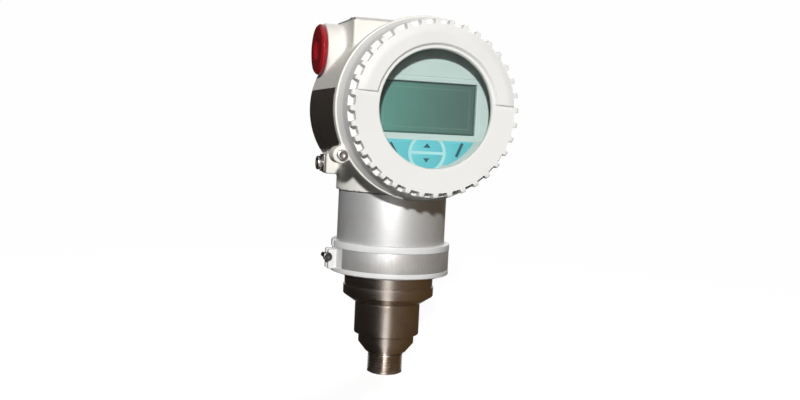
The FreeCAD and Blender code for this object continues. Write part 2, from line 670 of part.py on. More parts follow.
def earth_screw():
    at = ("-earth_reach - clamp_t", "earth_y", AXIS_Z + " - earth_drop")
    return socket_screw("earth_screw", "earth_head_r", "earth_head", "earth_thread_r",
                        "lock_thread + clamp_t", at, "-x")


def side_plate():
    """A steel plate rolled to the barrel's left side."""
    at = ("0", "-side_front", AXIS_Z)
    outer = sector("side_plate_outer", "body_r + plate_t + fit_gap", "side_len", at, "y",
                   "180 + side_angle - side_sweep", "side_sweep")
    inner = rod("side_plate_inner", "body_r + fit_gap", "side_len", at, "y")
    return cut("side_plate", outer, inner)


# ---------------------------------------------------------------- covers

def screw_cover(name, radius, length, thread_r, thread_len, skirt, inside, turn, axis, at):
    """A cast cover: a notched rim outside and a hollow threaded spigot below its seat.

    skirt lists the (radius, height) corners outside from the seat outwards, and inside those of the
    cavity from the spigot's mouth outwards.
    """
    groove_in = "(%s + %s) / 2 - cord_r - cord_gap" % (thread_r, radius)
    groove_out = "(%s + %s) / 2 + cord_r + cord_gap" % (thread_r, radius)
    groove_top = "seat_gap + 2 * cord_r + cord_gap"
    body = turned(name, (
        (thread_r, "-(%s)" % thread_len), (thread_r, "seat_gap"),
        (groove_in, "seat_gap"), (groove_in, groove_top), (groove_out, groove_top),
        (groove_out, "seat_gap")) + skirt + ((radius, "%s - cover_chamfer" % length),
                                             ("%s - cover_chamfer" % radius, length)) + inside[::-1])
    doc.recompute()
    notch_sketch = new_sketch(body, name + "_notch")
    deep, clear = radius + " - notch_depth", radius + " + run_out"
    outline(notch_sketch, ((deep, "-notch_w / 2"), (clear, "-notch_w / 2"), (clear, "notch_w / 2"),
                           (deep, "notch_w / 2")))
    bind(notch_sketch, AttachmentOffset__Base__z=length)
    notch = body.newObject("PartDesign::Pocket", name + "_notch_cut")
    notch.Profile = notch_sketch
    bind(notch, Length="notch_len")
    doc.recompute()
    pattern = body.newObject("PartDesign::PolarPattern", name + "_notches")
    pattern.Originals = [notch]
    pattern.Axis = (notch_sketch, ["N_Axis"])
    pattern.Angle = 360
    pattern.setExpression("Occurrences", size("notch_count"))
    body.Tip = pattern
    doc.recompute()
    return place(body, at, axis, turn)


def recess_arc(sketch, radius):
    """An arc about the cover's axis that ends at the recess's lower step; returns its index."""
    start = math.asin(value("recess_step") / value(radius))
    shape = Part.ArcOfCircle(Part.Circle(FreeCAD.Vector(), FreeCAD.Vector(0, 0, 1), value(radius)),
                             start, math.pi - start)
    index = sketch.addGeometry(shape, False)
    sketch.addConstraint(Sketcher.Constraint("Coincident", index, 3, -1, 1))
    constraint = sketch.addConstraint(Sketcher.Constraint("Radius", index, value(radius)))
    sketch.setExpression("Constraints[%d]" % constraint, size(radius))
    for point in (1, 2):
        step = sketch.addConstraint(
            Sketcher.Constraint("DistanceY", -1, 1, index, point, value("recess_step")))
        sketch.setExpression("Constraints[%d]" % step, size("recess_step"))
    return index


def front_cover():
    cavity = "front_thread_r - cover_wall"
    pocket = "glass_r + fit_gap * 2"
    seat = GLASS_Y + " - glass_t"
    inside = ((cavity, "-front_thread_len"), (cavity, seat), (pocket, seat),
              (pocket, "front_cover_len - window_lip"), ("window_r", "front_cover_len - window_lip"),
              ("window_r", "front_cover_len"))
    skirt = (("skirt_r", "seat_gap"), ("front_cover_r", "skirt_len"))
    body = screw_cover("front_cover", "front_cover_r", "front_cover_len", "front_thread_r",
                       "front_thread_len", skirt, inside, "cover_turn", "-y",
                       ("0", "-front_reach", AXIS_Z))
    sketch = new_sketch(body, "face_recess_outline")
    outer = recess_arc(sketch, "front_cover_r - recess_rim")
    inner = recess_arc(sketch, "window_r + lip_w")
    for point in (1, 2):
        ends = [sketch.getPoint(outer, point), sketch.getPoint(inner, point)]
        line = sketch.addGeometry(Part.LineSegment(*ends), False)
        sketch.addConstraint(Sketcher.Constraint("Coincident", line, 1, outer, point))
        sketch.addConstraint(Sketcher.Constraint("Coincident", line, 2, inner, point))
    bind(sketch, AttachmentOffset__Base__z="front_cover_len")
    recess = body.newObject("PartDesign::Pocket", "face_recess")
    recess.Profile = sketch
    bind(recess, Length="recess_depth")
    body.Tip = recess
    return body


def rear_cover():
    cavity = "rear_thread_r - cover_wall"
    inside = ((cavity, "-rear_thread_len"), (cavity, "rear_cover_len - cover_wall"),
              ("0", "rear_cover_len - cover_wall"), ("0", "rear_cover_len"))
    return screw_cover("rear_cover", "rear_cover_r", "rear_cover_len", "rear_thread_r",
                       "rear_thread_len", (("rear_cover_r", "seat_gap"),), inside, "0", "y",
                       ("0", "rear_reach", AXIS_Z))


def front_cover_oring():
    at = ("0", "-front_reach - seat_gap - cord_r", AXIS_Z)
    return ring_of("front_cover_oring", "(front_thread_r + front_cover_r) / 2", "cord_r", at, "y")


def rear_cover_oring():
    at = ("0", "rear_reach + seat_gap + cord_r", AXIS_Z)
    return ring_of("rear_cover_oring", "(rear_thread_r + rear_cover_r) / 2", "cord_r", at, "y")


def window_glass():
    at = ("0", "-front_reach - (" + GLASS_Y + " - glass_t)", AXIS_Z)
    return rod("window_glass", "glass_r", "glass_t", at, "-y")


def window_seal():
    at = ("0", "-front_reach - (" + GLASS_Y + ")", AXIS_Z)
    disc = rod("window_seal_disc", "glass_r", "gasket_t", at, "-y")
    hole = rod("window_seal_hole", "glass_r - seal_w", "gasket_t", at, "-y")
    return cut("window_seal", disc, hole)


def glass_holder():
    """The threaded ring that holds the glass in the cover."""
    at = ("0", "-front_reach - (" + GLASS_Y + " - glass_t - holder_t)", AXIS_Z)
    disc = rod("glass_holder_disc", "front_thread_r - cover_wall - fit_gap", "holder_t", at, "-y")
    hole = rod("glass_holder_hole", "holder_r", "holder_t", at, "-y")
    return cut("glass_holder", disc, hole)


# ---------------------------------------------------------------- display and electronics

def display_frame():
    """A shallow moulded cup with the display's window in its face."""
    body = doc.addObject("PartDesign::Body", "display_frame")
    disc = new_sketch(body, "display_disc")
    circle(disc, "display_r")
    pad = body.newObject("PartDesign::Pad", "display_pad")
    pad.Profile = disc
    bind(pad, Length="display_t")
    doc.recompute()
    hollow = new_sketch(body, "display_hollow")
    circle(hollow, "display_r - display_face")
    cavity = body.newObject("PartDesign::Pocket", "display_cavity")
    cavity.Profile = hollow
    cavity.Reversed = True
    bind(cavity, Length="display_t - display_face")
    doc.recompute()
    window = new_sketch(body, "display_window")
    half, low, high = "lcd_w / 2", "lcd_rise - lcd_h / 2", "lcd_rise + lcd_h / 2"
    outline(window, (("-" + half, low), (half, low), (half, high), ("-" + half, high)))
    opening = body.newObject("PartDesign::Pocket", "display_opening")
    opening.Profile = window
    opening.Reversed = True
    bind(opening, Length="display_t")
    body.Tip = opening
    return place(body, ("0", DISPLAY_Y + " + display_t", AXIS_Z), "-y")


def lcd_glass():
    half = "lcd_w / 2 + lcd_margin"
    height = "lcd_h + 2 * lcd_margin"
    return box("lcd_glass", ("-(" + half + ")", LCD_Y, AXIS_Z + " + lcd_rise - (" + height + ") / 2"),
               ("2 * (" + half + ")", "lcd_t", height))


def key_film():
    disc = rod("key_film_disc", "keys_r", "keys_t", ("0", DISPLAY_Y, AXIS_Z), "-y")
    below = box("key_film_below", ("-keys_r", DISPLAY_Y + " - keys_t", AXIS_Z + " - keys_r"),
                ("2 * keys_r", "keys_t", "keys_r - keys_drop"))
    return common("key_film", disc, below)


def display_board():
    at = ("0", LCD_Y + " + lcd_t", AXIS_Z)
    length = "display_t - display_face - lcd_t"
    return rod("display_board", "display_r - display_face - fit_gap", length, at, "y")


def electronics_can():
    start = DISPLAY_Y + " + display_t"
    return rod("electronics_can", "can_r", "-board_y - (" + start + ")", ("0", start, AXIS_Z), "y")


def main_board():
    disc = rod("main_board_disc", "board_r", "board_t", ("0", "-board_y", AXIS_Z), "y")
    holes = [rod("main_board_hole", "screw_r + fit_gap", "board_t", (x, "-board_y", z), "y")
             for x, z in board_stud_points()]
    return cut("main_board", disc, *holes)


def board_screws():
    screws = [socket_screw("board_screw_%d" % (index + 1), "screw_head_r", "screw_head", "screw_r",
                           "board_t + wall_t", (x, "-board_y", z), "-y")
              for index, (x, z) in enumerate(board_stud_points())]
    return group("board_screws", screws)


def sensor_plug():
    """The connector behind the main board that takes the sensor cable."""
    start = "-board_y + board_t"
    return box("sensor_plug", ("-plug_half", start, AXIS_Z + " - plug_drop"),
               ("2 * plug_half", "cable_r + board_y - board_t", "plug_h"))


# ---------------------------------------------------------------- terminals

def feedthrough():
    start = REAR_WALL_Y + " - bushing_len"
    return rod("feedthrough", "bushing_r - fit_gap", "bushing_len", ("bushing_x", start, AXIS_Z), "y")


def terminal_points():
    return [("%s * terminal_pitch" % step, AXIS_Z) for step in ("-1", "0", "1")]


def terminal_block():
    """A moulded block on the dividing wall, with barriers between its three terminals."""
    disc = rod("terminal_disc", "terminal_r", "terminal_t + barrier_h", ("0", REAR_WALL_Y, AXIS_Z), "y")
    slab = box("terminal_slab", ("-terminal_r", REAR_WALL_Y, AXIS_Z + " - terminal_base"),
               ("2 * terminal_r", "terminal_t", "terminal_base + terminal_top"))
    barriers = [box("terminal_barrier", ("%s * terminal_pitch - barrier_t / 2" % step, REAR_WALL_Y,
                                         AXIS_Z + " - terminal_pitch"),
                    ("barrier_t", "terminal_t + barrier_h", "terminal_pitch + terminal_top / 2"))
                for step in ("-1.5", "-0.5", "0.5", "1.5")]
    blank = common("terminal_blank", fuse("terminal_form", [slab] + barriers), disc)
    holes = [rod("terminal_hole", "screw_r", "terminal_t", (x, REAR_WALL_Y, z), "y")
             for x, z in terminal_points()]
    return cut("terminal_block", blank, *holes)


def terminal_screws():
    screws = [socket_screw("terminal_screw_%d" % (index + 1), "terminal_head_r", "terminal_head",
                           "screw_r", "terminal_t / 2", (x, REAR_WALL_Y + " + terminal_t", z), "y")
              for index, (x, z) in enumerate(terminal_points())]
    return group("terminal_screws", screws)


def ground_screw():
    at = ("ground_x", REAR_WALL_Y, AXIS_Z + " + ground_rise")
    return socket_screw("ground_screw", "screw_head_r", "screw_head", "screw_r", "wall_t / 2", at, "y")


# ---------------------------------------------------------------- name plate, buttons, conduit plug

def name_plate():
    """A plate on the top block that swings about its left screw; its right screw slot is an arc."""
    base = TOP_Z + " + name_gap"
    width = "block_front + rear_reach - 2 * name_margin"
    blank = box("name_plate_blank", ("-name_half", "-block_front + name_margin", base),
                ("2 * name_half", width, "name_t"))
    hole_r = "screw_r + slot_gap"
    pivot = ("-name_screw_x", "button_y", base)
    pivot_hole = rod("name_pivot_hole", hole_r, "name_t", pivot)
    clamp_hole = rod("name_clamp_hole", hole_r, "name_t", ("name_screw_x", "button_y", base))
    reach = "2 * name_screw_x"
    slot_out = sector("name_slot_outer", reach + " + " + hole_r, "name_t", pivot, "z",
                      "-slot_sweep", "slot_sweep")
    slot_in = rod("name_slot_inner", reach + " - (" + hole_r + ")", "name_t", pivot)
    slot = cut("name_slot", slot_out, slot_in)
    return cut("name_plate", blank, pivot_hole, clamp_hole, slot)


def name_plate_screws():
    screws = [socket_screw("name_screw_%d" % (index + 1), "screw_head_r", "screw_head", "screw_r",
                           "well_depth / 2 + name_t + 2 * name_gap",
                           (side + "name_screw_x", "button_y", TOP_Z + " + name_t + 2 * name_gap"), "z")
              for index, side in enumerate(("-", ""))]
    return group("name_plate_screws", screws)


def push_button(name, x):
    """A stepped push button that stands in its well."""
    return turned(name, (
        ("0", "0"), ("button_r", "0"), ("button_r", "button_collar"), ("button_tip_r", "button_collar"),
        ("button_tip_r", "button_len"), ("0", "button_len")),
        (x, "button_y", TOP_Z + " - button_drop - button_len"))


def conduit_plug():
    """A moulded transport plug in the left conduit entry."""
    shank = "conduit_r - fit_gap * 2"
    return turned("conduit_plug", (
        ("0", "cap_head - cap_round"), ("0", "0"), (shank + " - cap_plug_wall", "0"),
        (shank + " - cap_plug_wall", "-cap_plug_len"), (shank, "-cap_plug_len"), (shank, "seat_gap"),
        ("cap_r", "seat_gap"), ("cap_r", "cap_head - cap_round"), ("cap_r - cap_round", "cap_head"),
        ("cap_dish_r", "cap_head"), ("cap_dish_r - cap_round", "cap_head - cap_round")),
        ("-boss_reach", "conduit_y", AXIS_Z + " + conduit_rise"), "-x")


# ---------------------------------------------------------------- build, check and write

NODES = [
    process_connection(), sensor_collar(), cell_gasket(), pressure_cell(), cell_lock_ring(), cell_lead(),
    sensor_neck(), neck_cap(), neck_oring(), board_posts(), sensor_board(), sensor_cable(),
    tag_ring(), tag_ring_screw(), tag_plate(),
    housing(), neck_stop_screw(), front_lock_screw(), rear_lock_screw(), earth_clamp(), earth_screw(),
    side_plate(),
    front_cover(), front_cover_oring(), window_seal(), window_glass(), glass_holder(),
    rear_cover(), rear_cover_oring(),
    display_frame(), lcd_glass(), key_film(), display_board(), electronics_can(), main_board(),
    board_screws(), sensor_plug(),
    feedthrough(), terminal_block(), terminal_screws(), ground_screw(),
    name_plate(), name_plate_screws(),
    push_button("zero_button", "-button_pitch"), push_button("protect_button", "0"),
    push_button("span_button", "button_pitch"),
    conduit_plug(),
]

doc.recompute()
for item in doc.Objects:
    if "Invalid" in item.State or "Error" in item.State:
        raise RuntimeError("%s did not build: %s" % (item.Name, item.State))
for node in NODES:
    if node.Shape.isNull() or not node.Shape.isValid():
        raise RuntimeError("%s has no valid shape" % node.Name)

os.makedirs("parts", exist_ok=True)
for node in NODES:
    node.Label = node.Name
    node.Shape.exportStep("parts/%s.step" % node.Label)
    print("%-20s %3d solids %12.1f mm3" % (node.Label, len(node.Shape.Solids), node.Shape.Volume))
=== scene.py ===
import json
import math

import bpy
import numpy as np
from mathutils import Matrix, Vector


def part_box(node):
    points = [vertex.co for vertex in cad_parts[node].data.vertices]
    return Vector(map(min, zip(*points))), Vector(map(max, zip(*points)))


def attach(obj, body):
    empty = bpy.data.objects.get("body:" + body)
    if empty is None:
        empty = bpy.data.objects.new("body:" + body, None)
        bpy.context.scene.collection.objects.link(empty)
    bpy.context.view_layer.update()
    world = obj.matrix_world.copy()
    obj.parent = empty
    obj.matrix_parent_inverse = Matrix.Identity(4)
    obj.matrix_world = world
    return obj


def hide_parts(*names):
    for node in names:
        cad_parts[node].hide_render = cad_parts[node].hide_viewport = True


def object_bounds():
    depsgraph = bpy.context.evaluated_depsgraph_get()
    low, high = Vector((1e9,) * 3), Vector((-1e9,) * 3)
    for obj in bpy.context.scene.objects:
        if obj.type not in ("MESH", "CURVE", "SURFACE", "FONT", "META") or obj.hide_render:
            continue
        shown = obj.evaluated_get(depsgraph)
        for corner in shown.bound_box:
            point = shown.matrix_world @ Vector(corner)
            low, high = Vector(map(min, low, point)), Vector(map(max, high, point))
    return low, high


bl_info = {
    "name": "Pressure transmitter",
    "version": (1, 0, 0),
    "blender": (4, 5, 0),
    "location": "View3D > Sidebar > Transmitter",
    "description": "Detailed pieces and materials for a field pressure transmitter on its packed solids",
    "category": "Object",
}

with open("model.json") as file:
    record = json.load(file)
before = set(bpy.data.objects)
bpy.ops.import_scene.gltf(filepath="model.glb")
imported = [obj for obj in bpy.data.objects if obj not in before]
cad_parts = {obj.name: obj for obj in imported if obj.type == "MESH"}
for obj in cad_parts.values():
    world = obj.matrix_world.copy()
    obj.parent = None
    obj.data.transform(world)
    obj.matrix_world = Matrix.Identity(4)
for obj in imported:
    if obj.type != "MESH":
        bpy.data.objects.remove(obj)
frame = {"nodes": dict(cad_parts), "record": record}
CAD_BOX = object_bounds()

MM = 0.001


# ---------------------------------------------------------------- places read from the solids

def low(node):
    """Lowest corner of a solid's box, in millimetres."""
    return np.array(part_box(node)[0]) * 1000.0


def high(node):
    """Highest corner of a solid's box, in millimetres."""
    return np.array(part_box(node)[1]) * 1000.0


def middle(node):
    """Centre of a solid's box, in millimetres."""
    return (low(node) + high(node)) / 2.0


def span(node, axis=2):
    """Where a solid's box starts and stops along an axis (0, 1 or 2), in millimetres."""
    return float(low(node)[axis]), float(high(node)[axis])


# What those boxes don't tell: lengths and gaps in millimetres, and the turn of the front cover's
# notches in degrees.
REAR_SPIGOT = 6.0
PLUG_HEAD = 3.6
SCREEN_RIM = 2.5
COVER_TURN = -2.8
SWIVEL_GAP, PLATE_GAP = 0.5, 0.05

BARREL_Z = float(middle("front_cover")[2])
FRONT_FACE = span("housing", 1)[0]
REAR_FACE = span("rear_cover", 1)[0] + REAR_SPIGOT
RIM_Z = span("sensor_neck")[1] + SWIVEL_GAP
BLOCK_TOP = span("name_plate")[0] - PLATE_GAP
BOSS_X = -span("conduit_plug", 0)[0] - PLUG_HEAD
CONDUIT = tuple(float(place) for place in middle("conduit_plug")[1:])
SCREEN_Z = float(middle("lcd_glass")[2])
SCREEN_HALF = [(span("lcd_glass", axis)[1] - span("lcd_glass", axis)[0]) / 2 - SCREEN_RIM for axis in (0, 2)]

MATERIALS = {}


# ---------------------------------------------------------------- mesh building

def towards(origin, axis, spin=0.0):
    """A matrix that puts local +Z along an axis and the local origin at a point, in millimetres."""
    turns = {
        "x": Matrix.Rotation(math.radians(90), 4, "Y"),
        "-x": Matrix.Rotation(math.radians(-90), 4, "Y"),
        "y": Matrix.Rotation(math.radians(-90), 4, "X"),
        "-y": Matrix.Rotation(math.radians(90), 4, "X"),
        "z": Matrix.Identity(4),
        "-z": Matrix.Rotation(math.radians(180), 4, "X"),
    }
    return Matrix.Translation(origin) @ turns[axis] @ Matrix.Rotation(math.radians(spin), 4, "Z")


def placed(shape, matrix):
    """A shape (points, faces) with its points put in place by a matrix."""
    points, faces = shape
    matrix = np.array(matrix)
    return np.asarray(points, float) @ matrix[:3, :3].T + matrix[:3, 3], faces


def joined(parts):
    """Several shapes as one."""
    points, faces, start = [], [], 0
    for some_points, some_faces in parts:
        points.append(np.asarray(some_points, float))
        faces += [tuple(index + start for index in face) for face in some_faces]
        start += len(some_points)
    return np.concatenate(points), faces


def add_piece(name, shape, body, look, replaces=(), sharp=34.0, normals=None):
    """A shown piece from a shape in millimetres, on a body, with the material of a look."""
    points, faces = shape
    mesh = bpy.data.meshes.new(name)
    mesh.from_pydata((np.asarray(points, float) * MM).tolist(), [], faces)
    mesh.validate()
    mesh.update()
    mesh.materials.append(MATERIALS[look])
    mesh.shade_smooth()
    piece = bpy.data.objects.new(name, mesh)
    bpy.context.scene.collection.objects.link(piece)
    if normals is None:
        mesh.set_sharp_from_angle(angle=math.radians(sharp))
    else:
        mesh.normals_split_custom_set_from_vertices(np.asarray(normals, float).tolist())
    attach(piece, body)
    if replaces:
        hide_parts(*replaces)


def soften(points, radius, steps=3, closed=False):
    """Round the corners of an outline of (across, up) points; a third number is a corner's own radius."""
    count, nearly_straight, share = len(points), math.radians(88), 0.45
    result = []
    for index, point in enumerate(points):
        here = np.array(point[:2], float)
        own = point[2] if len(point) > 2 else radius
        if own <= 0 or (not closed and index in (0, count - 1)):
            result.append(tuple(here))
            continue
        before = np.array(points[index - 1][:2], float) - here
        after = np.array(points[(index + 1) % count][:2], float) - here
        length_before, length_after = np.linalg.norm(before), np.linalg.norm(after)
        before, after = before / length_before, after / length_after
        half = math.acos(max(-1.0, min(1.0, float(before @ after)))) / 2
        if half > nearly_straight:
            result.append(tuple(here))
            continue
        reach = min(own / math.tan(half), share * length_before, share * length_after)
        first, last = here + before * reach, here + after * reach
        for step in range(steps + 1):
            t = step / steps
            result.append(tuple((1 - t) ** 2 * first + 2 * t * (1 - t) * here + t * t * last))
    return result


def divided(points, longest, closed=False):
    """The outline with its long stretches cut up."""
    result, count = [], len(points)
    for index in range(count if closed else count - 1):
        a, b = np.array(points[index]), np.array(points[(index + 1) % count])
        parts = max(1, int(math.ceil(float(np.linalg.norm(b - a)) / longest)))
        result += [tuple(a + (b - a) * part / parts) for part in range(parts)]
    if not closed:
        result.append(tuple(points[-1]))
    return result


def grid_faces(rows, columns, close_rows=False, close_columns=True):
    """The faces of a grid of points, joined round on itself either way."""
    faces = []
    for row in range(rows if close_rows else rows - 1):
        below = (row + 1) % rows
        for column in range(columns if close_columns else columns - 1):
            beside = (column + 1) % columns
            faces.append((row * columns + column, row * columns + beside,
                          below * columns + beside, below * columns + column))
    return faces


def turned(profile, columns=96, closed=False, angles=None, shape=None):
    """A surface turned about local Z; shape may change (radius, height, angle) point by point."""
    angles = np.radians(np.arange(columns) * 360.0 / columns) if angles is None else np.radians(angles)
    rows = np.array([point[:2] for point in profile], float)
    radius = np.repeat(rows[:, 0][:, None], len(angles), 1)
    height = np.repeat(rows[:, 1][:, None], len(angles), 1)
    angle = np.repeat(angles[None, :], len(rows), 0)
    if shape is not None:
        radius, height, angle = shape(radius, height, angle)
    points = np.stack([radius * np.cos(angle), radius * np.sin(angle), height], -1).reshape(-1, 3)
    return points, grid_faces(len(rows), len(angles), close_rows=closed)


def part_turned(outline, angles):
    """A closed outline turned through part of a circle, with its two ends closed."""
    rows, columns = len(outline), len(angles)
    faces = grid_faces(rows, columns, close_rows=True, close_columns=False)
    faces.append(tuple(row * columns for row in range(rows)))
    faces.append(tuple(row * columns + columns - 1 for row in range(rows - 1, -1, -1)))
    return turned(outline, angles=angles)[0], faces


def ring_radii(columns, radius, sides):
    """Radii of a circle, or of a polygon that the circle fits inside, over evenly spaced angles."""
    if not sides:
        return np.full(columns, float(radius))
    angle = np.radians(np.arange(columns) * 360.0 / columns)
    return radius / np.cos((angle % (2 * math.pi / sides)) - math.pi / sides)


def stacked(rings, columns=36):
    """A surface through rings of (radius, height, sides); a ring of next to no radius closes an end."""
    angle = np.radians(np.arange(columns) * 360.0 / columns)
    points = []
    for radius, height, sides in rings:
        reach = ring_radii(columns, radius, sides)
        points.append(np.stack([reach * np.cos(angle), reach * np.sin(angle),
                                np.full(columns, float(height))], -1))
    return np.concatenate(points), grid_faces(len(rings), columns)


def cap_screw(head_r, head, thread_r, thread):
    """A hexagon-socket cap screw: head above local z = 0, thread below it."""
    key = head_r * 0.48
    rings = [(0.001, -thread, 0), (thread_r * 0.8, -thread, 0), (thread_r, -thread + thread_r * 0.25, 0),
             (thread_r, -0.02, 0), (head_r - 0.25, 0.0, 0), (head_r - 0.06, 0.06, 0), (head_r, 0.25, 0),
             (head_r, head - 0.45, 0), (head_r - 0.12, head - 0.16, 0), (head_r - 0.4, head, 0),
             (key + 0.25, head, 6), (key, head - 0.22, 6), (key, head * 0.42, 6), (0.001, head * 0.36, 6)]
    return stacked(rings)


def pan_screw(head_r, head, thread_r, thread):
    """A pan head screw with a square recess: head above local z = 0, thread below it."""
    half_width, recess = 0.72, head - 0.9
    rings = [(0.001, -thread, 0), (thread_r, -thread, 0), (thread_r, -0.02, 0), (head_r - 0.15, 0.0, 0),
             (head_r, 0.25, 0), (head_r * 0.97, head * 0.55, 0), (head_r * 0.8, head * 0.88, 0),
             (head_r * 0.55, head, 0), (head_r * 0.5, head, 4), (half_width, recess, 4),
             (0.001, recess, 4)]
    return stacked(rings)


def slab(outline, base, top, edge=0.0):
    """A flat slab over an outline of (across, up) points, rounded along its upper edge."""
    outline = np.array(outline, float)
    count = len(outline)
    after = np.roll(outline, -1, 0) - outline
    before = outline - np.roll(outline, 1, 0)
    normal = np.stack([after[:, 1] + before[:, 1], -after[:, 0] - before[:, 0]], -1)
    normal /= np.maximum(np.linalg.norm(normal, axis=1, keepdims=True), 1e-9)
    rows = [(0.0, base)]
    if edge > 0:
        rows += [(edge * (1 - math.cos(t)), top - edge * (1 - math.sin(t)))
                 for t in np.linspace(0, math.pi / 2, 4)]
    else:
        rows += [(0.0, top)]
    points = []
    for inset, height in rows:
        points.append(np.concatenate([outline - normal * inset, np.full((count, 1), height)], 1))
    faces = grid_faces(len(rows), count)
    last = (len(rows) - 1) * count
    faces.append(tuple(range(count - 1, -1, -1)))
    faces.append(tuple(last + index for index in range(count)))
    return np.concatenate(points), faces


def arc(centre, radius, start, stop, steps):
    """Points (across, up) along an arc, from one angle to another in degrees."""
    return [(centre[0] + radius * math.cos(math.radians(a)), centre[1] + radius * math.sin(math.radians(a)))
            for a in np.linspace(start, stop, steps)]


def rounded_box(low_corner, high_corner, edge):
    """A block with its edges rounded, from a grid on each face of a cube."""
    steps = 3
    a, b = np.array(low_corner, float), np.array(high_corner, float)
    centre, half = (a + b) / 2, (b - a) / 2
    inner = half - edge
    line = np.concatenate([-1 - np.linspace(1, 0, steps + 1), 1 + np.linspace(0, 1, steps + 1)])
    parts = []
    count = len(line)
    for axis in range(3):
        u, v = (axis + 1) % 3, (axis + 2) % 3
        for side in (-1, 1):
            grid_u, grid_v = np.meshgrid(line, line, indexing="ij")
            cube = np.zeros((count, count, 3))
            cube[..., u], cube[..., v], cube[..., axis] = grid_u, grid_v, 2 * side
            core = np.clip(cube, -1, 1)
            away = cube - core
            length = np.maximum(np.linalg.norm(away, axis=-1, keepdims=True), 1e-9)
            points = centre + core * inner + away / length * edge
            faces = grid_faces(count, count, close_columns=False)
            if side < 0:
                faces = [face[::-1] for face in faces]
            parts.append((points.reshape(-1, 3), faces))
    return joined(parts)


# ---------------------------------------------------------------- cast forms from distance fields

def round_rod(points, axis, centre, radius, start, stop, edge=0.0):
    """Distance to a cylinder along an axis (0, 1 or 2) whose rims are rounded by edge."""
    others = [i for i in range(3) if i != axis]
    away = np.hypot(points[:, others[0]] - centre[0], points[:, others[1]] - centre[1]) - (radius - edge)
    along = np.abs(points[:, axis] - (start + stop) / 2) - ((stop - start) / 2 - edge)
    outside = np.hypot(np.maximum(away, 0), np.maximum(along, 0))
    return outside + np.minimum(np.maximum(away, along), 0) - edge


def round_block(points, a, b, edge):
    """Distance to a block between two corners, its edges rounded by edge."""
    a, b = np.array(a, float), np.array(b, float)
    q = np.abs(points - (a + b) / 2) - ((b - a) / 2 - edge)
    return np.linalg.norm(np.maximum(q, 0), axis=1) + np.minimum(q.max(1), 0) - edge


def melted(a, b, blend):
    """Union of two distances with a fillet."""
    h = np.maximum(blend - np.abs(a - b), 0) / blend
    return np.minimum(a, b) - h * h * blend / 4


def carved(a, b, blend):
    """Distance a with b cut away, the edge rounded."""
    return -melted(-a, b, blend)


def surface_of(distance, a, b, pitch):
    """Surface nets: the zero surface of a distance function, with normals."""
    a, b = np.array(a, float), np.array(b, float)
    counts = np.ceil((b - a) / pitch).astype(int) + 1
    lines = [a[i] + np.arange(counts[i]) * pitch for i in range(3)]
    grid = np.stack(np.meshgrid(*lines, indexing="ij"), -1)
    value = np.empty(counts)
    for layer in range(counts[0]):
        value[layer] = distance(grid[layer].reshape(-1, 3)).reshape(counts[1:])
    inside, cells = value < 0, tuple(counts - 1)
    position, hits = np.zeros(cells + (3,)), np.zeros(cells)
    corner = [np.array(c) for c in np.ndindex(2, 2, 2)]
    for one in corner:
        for axis in range(3):
            if one[axis]:
                continue
            other = one.copy()
            other[axis] = 1
            view_a = tuple(slice(one[i], one[i] + cells[i]) for i in range(3))
            view_b = tuple(slice(other[i], other[i] + cells[i]) for i in range(3))
            va, vb = value[view_a], value[view_b]
            crossing = (va < 0) != (vb < 0)
            share = np.where(crossing, va / np.where(crossing, va - vb, 1), 0)
            point = grid[view_a] + 0.0
            point[..., axis] += share * pitch
            position += np.where(crossing[..., None], point, 0)
            hits += crossing
    used = hits > 0
    index = np.full(cells, -1)
    index[used] = np.arange(used.sum())
    points = position[used] / hits[used][:, None]
    faces = []
    for axis in range(3):
        u, v = (axis + 1) % 3, (axis + 2) % 3
        view_a = [slice(None)] * 3
        view_b = [slice(None)] * 3
        view_a[axis], view_b[axis] = slice(0, -1), slice(1, None)
        a_in, b_in = inside[tuple(view_a)], inside[tuple(view_b)]
        cross = np.argwhere(a_in != b_in)
        keep = (cross[:, u] > 0) & (cross[:, v] > 0) & (cross[:, u] < cells[u]) & (cross[:, v] < cells[v])
        cross = cross[keep]
        flip = a_in[tuple(cross.T)]
        quads = []
        for du, dv in ((1, 1), (0, 1), (0, 0), (1, 0)):
            cell = cross.copy()
            cell[:, u] -= du
            cell[:, v] -= dv
            quads.append(index[tuple(cell.T)])
        quads = np.stack(quads, 1)
        quads[~flip] = quads[~flip][:, ::-1]
        faces.append(quads)
    faces = np.concatenate(faces)

    def slope(where):
        """The distance function's direction of growth at some points."""
        step = 0.02
        result = np.empty_like(where)
        for i in range(3):
            shift = np.zeros(3)
            shift[i] = step
            result[:, i] = distance(where + shift) - distance(where - shift)
        return result / np.maximum(np.linalg.norm(result, axis=1, keepdims=True), 1e-9)

    for _ in range(3):
        points = points - slope(points) * distance(points)[:, None]
    return points, faces.tolist(), slope(points)


# ---------------------------------------------------------------- materials

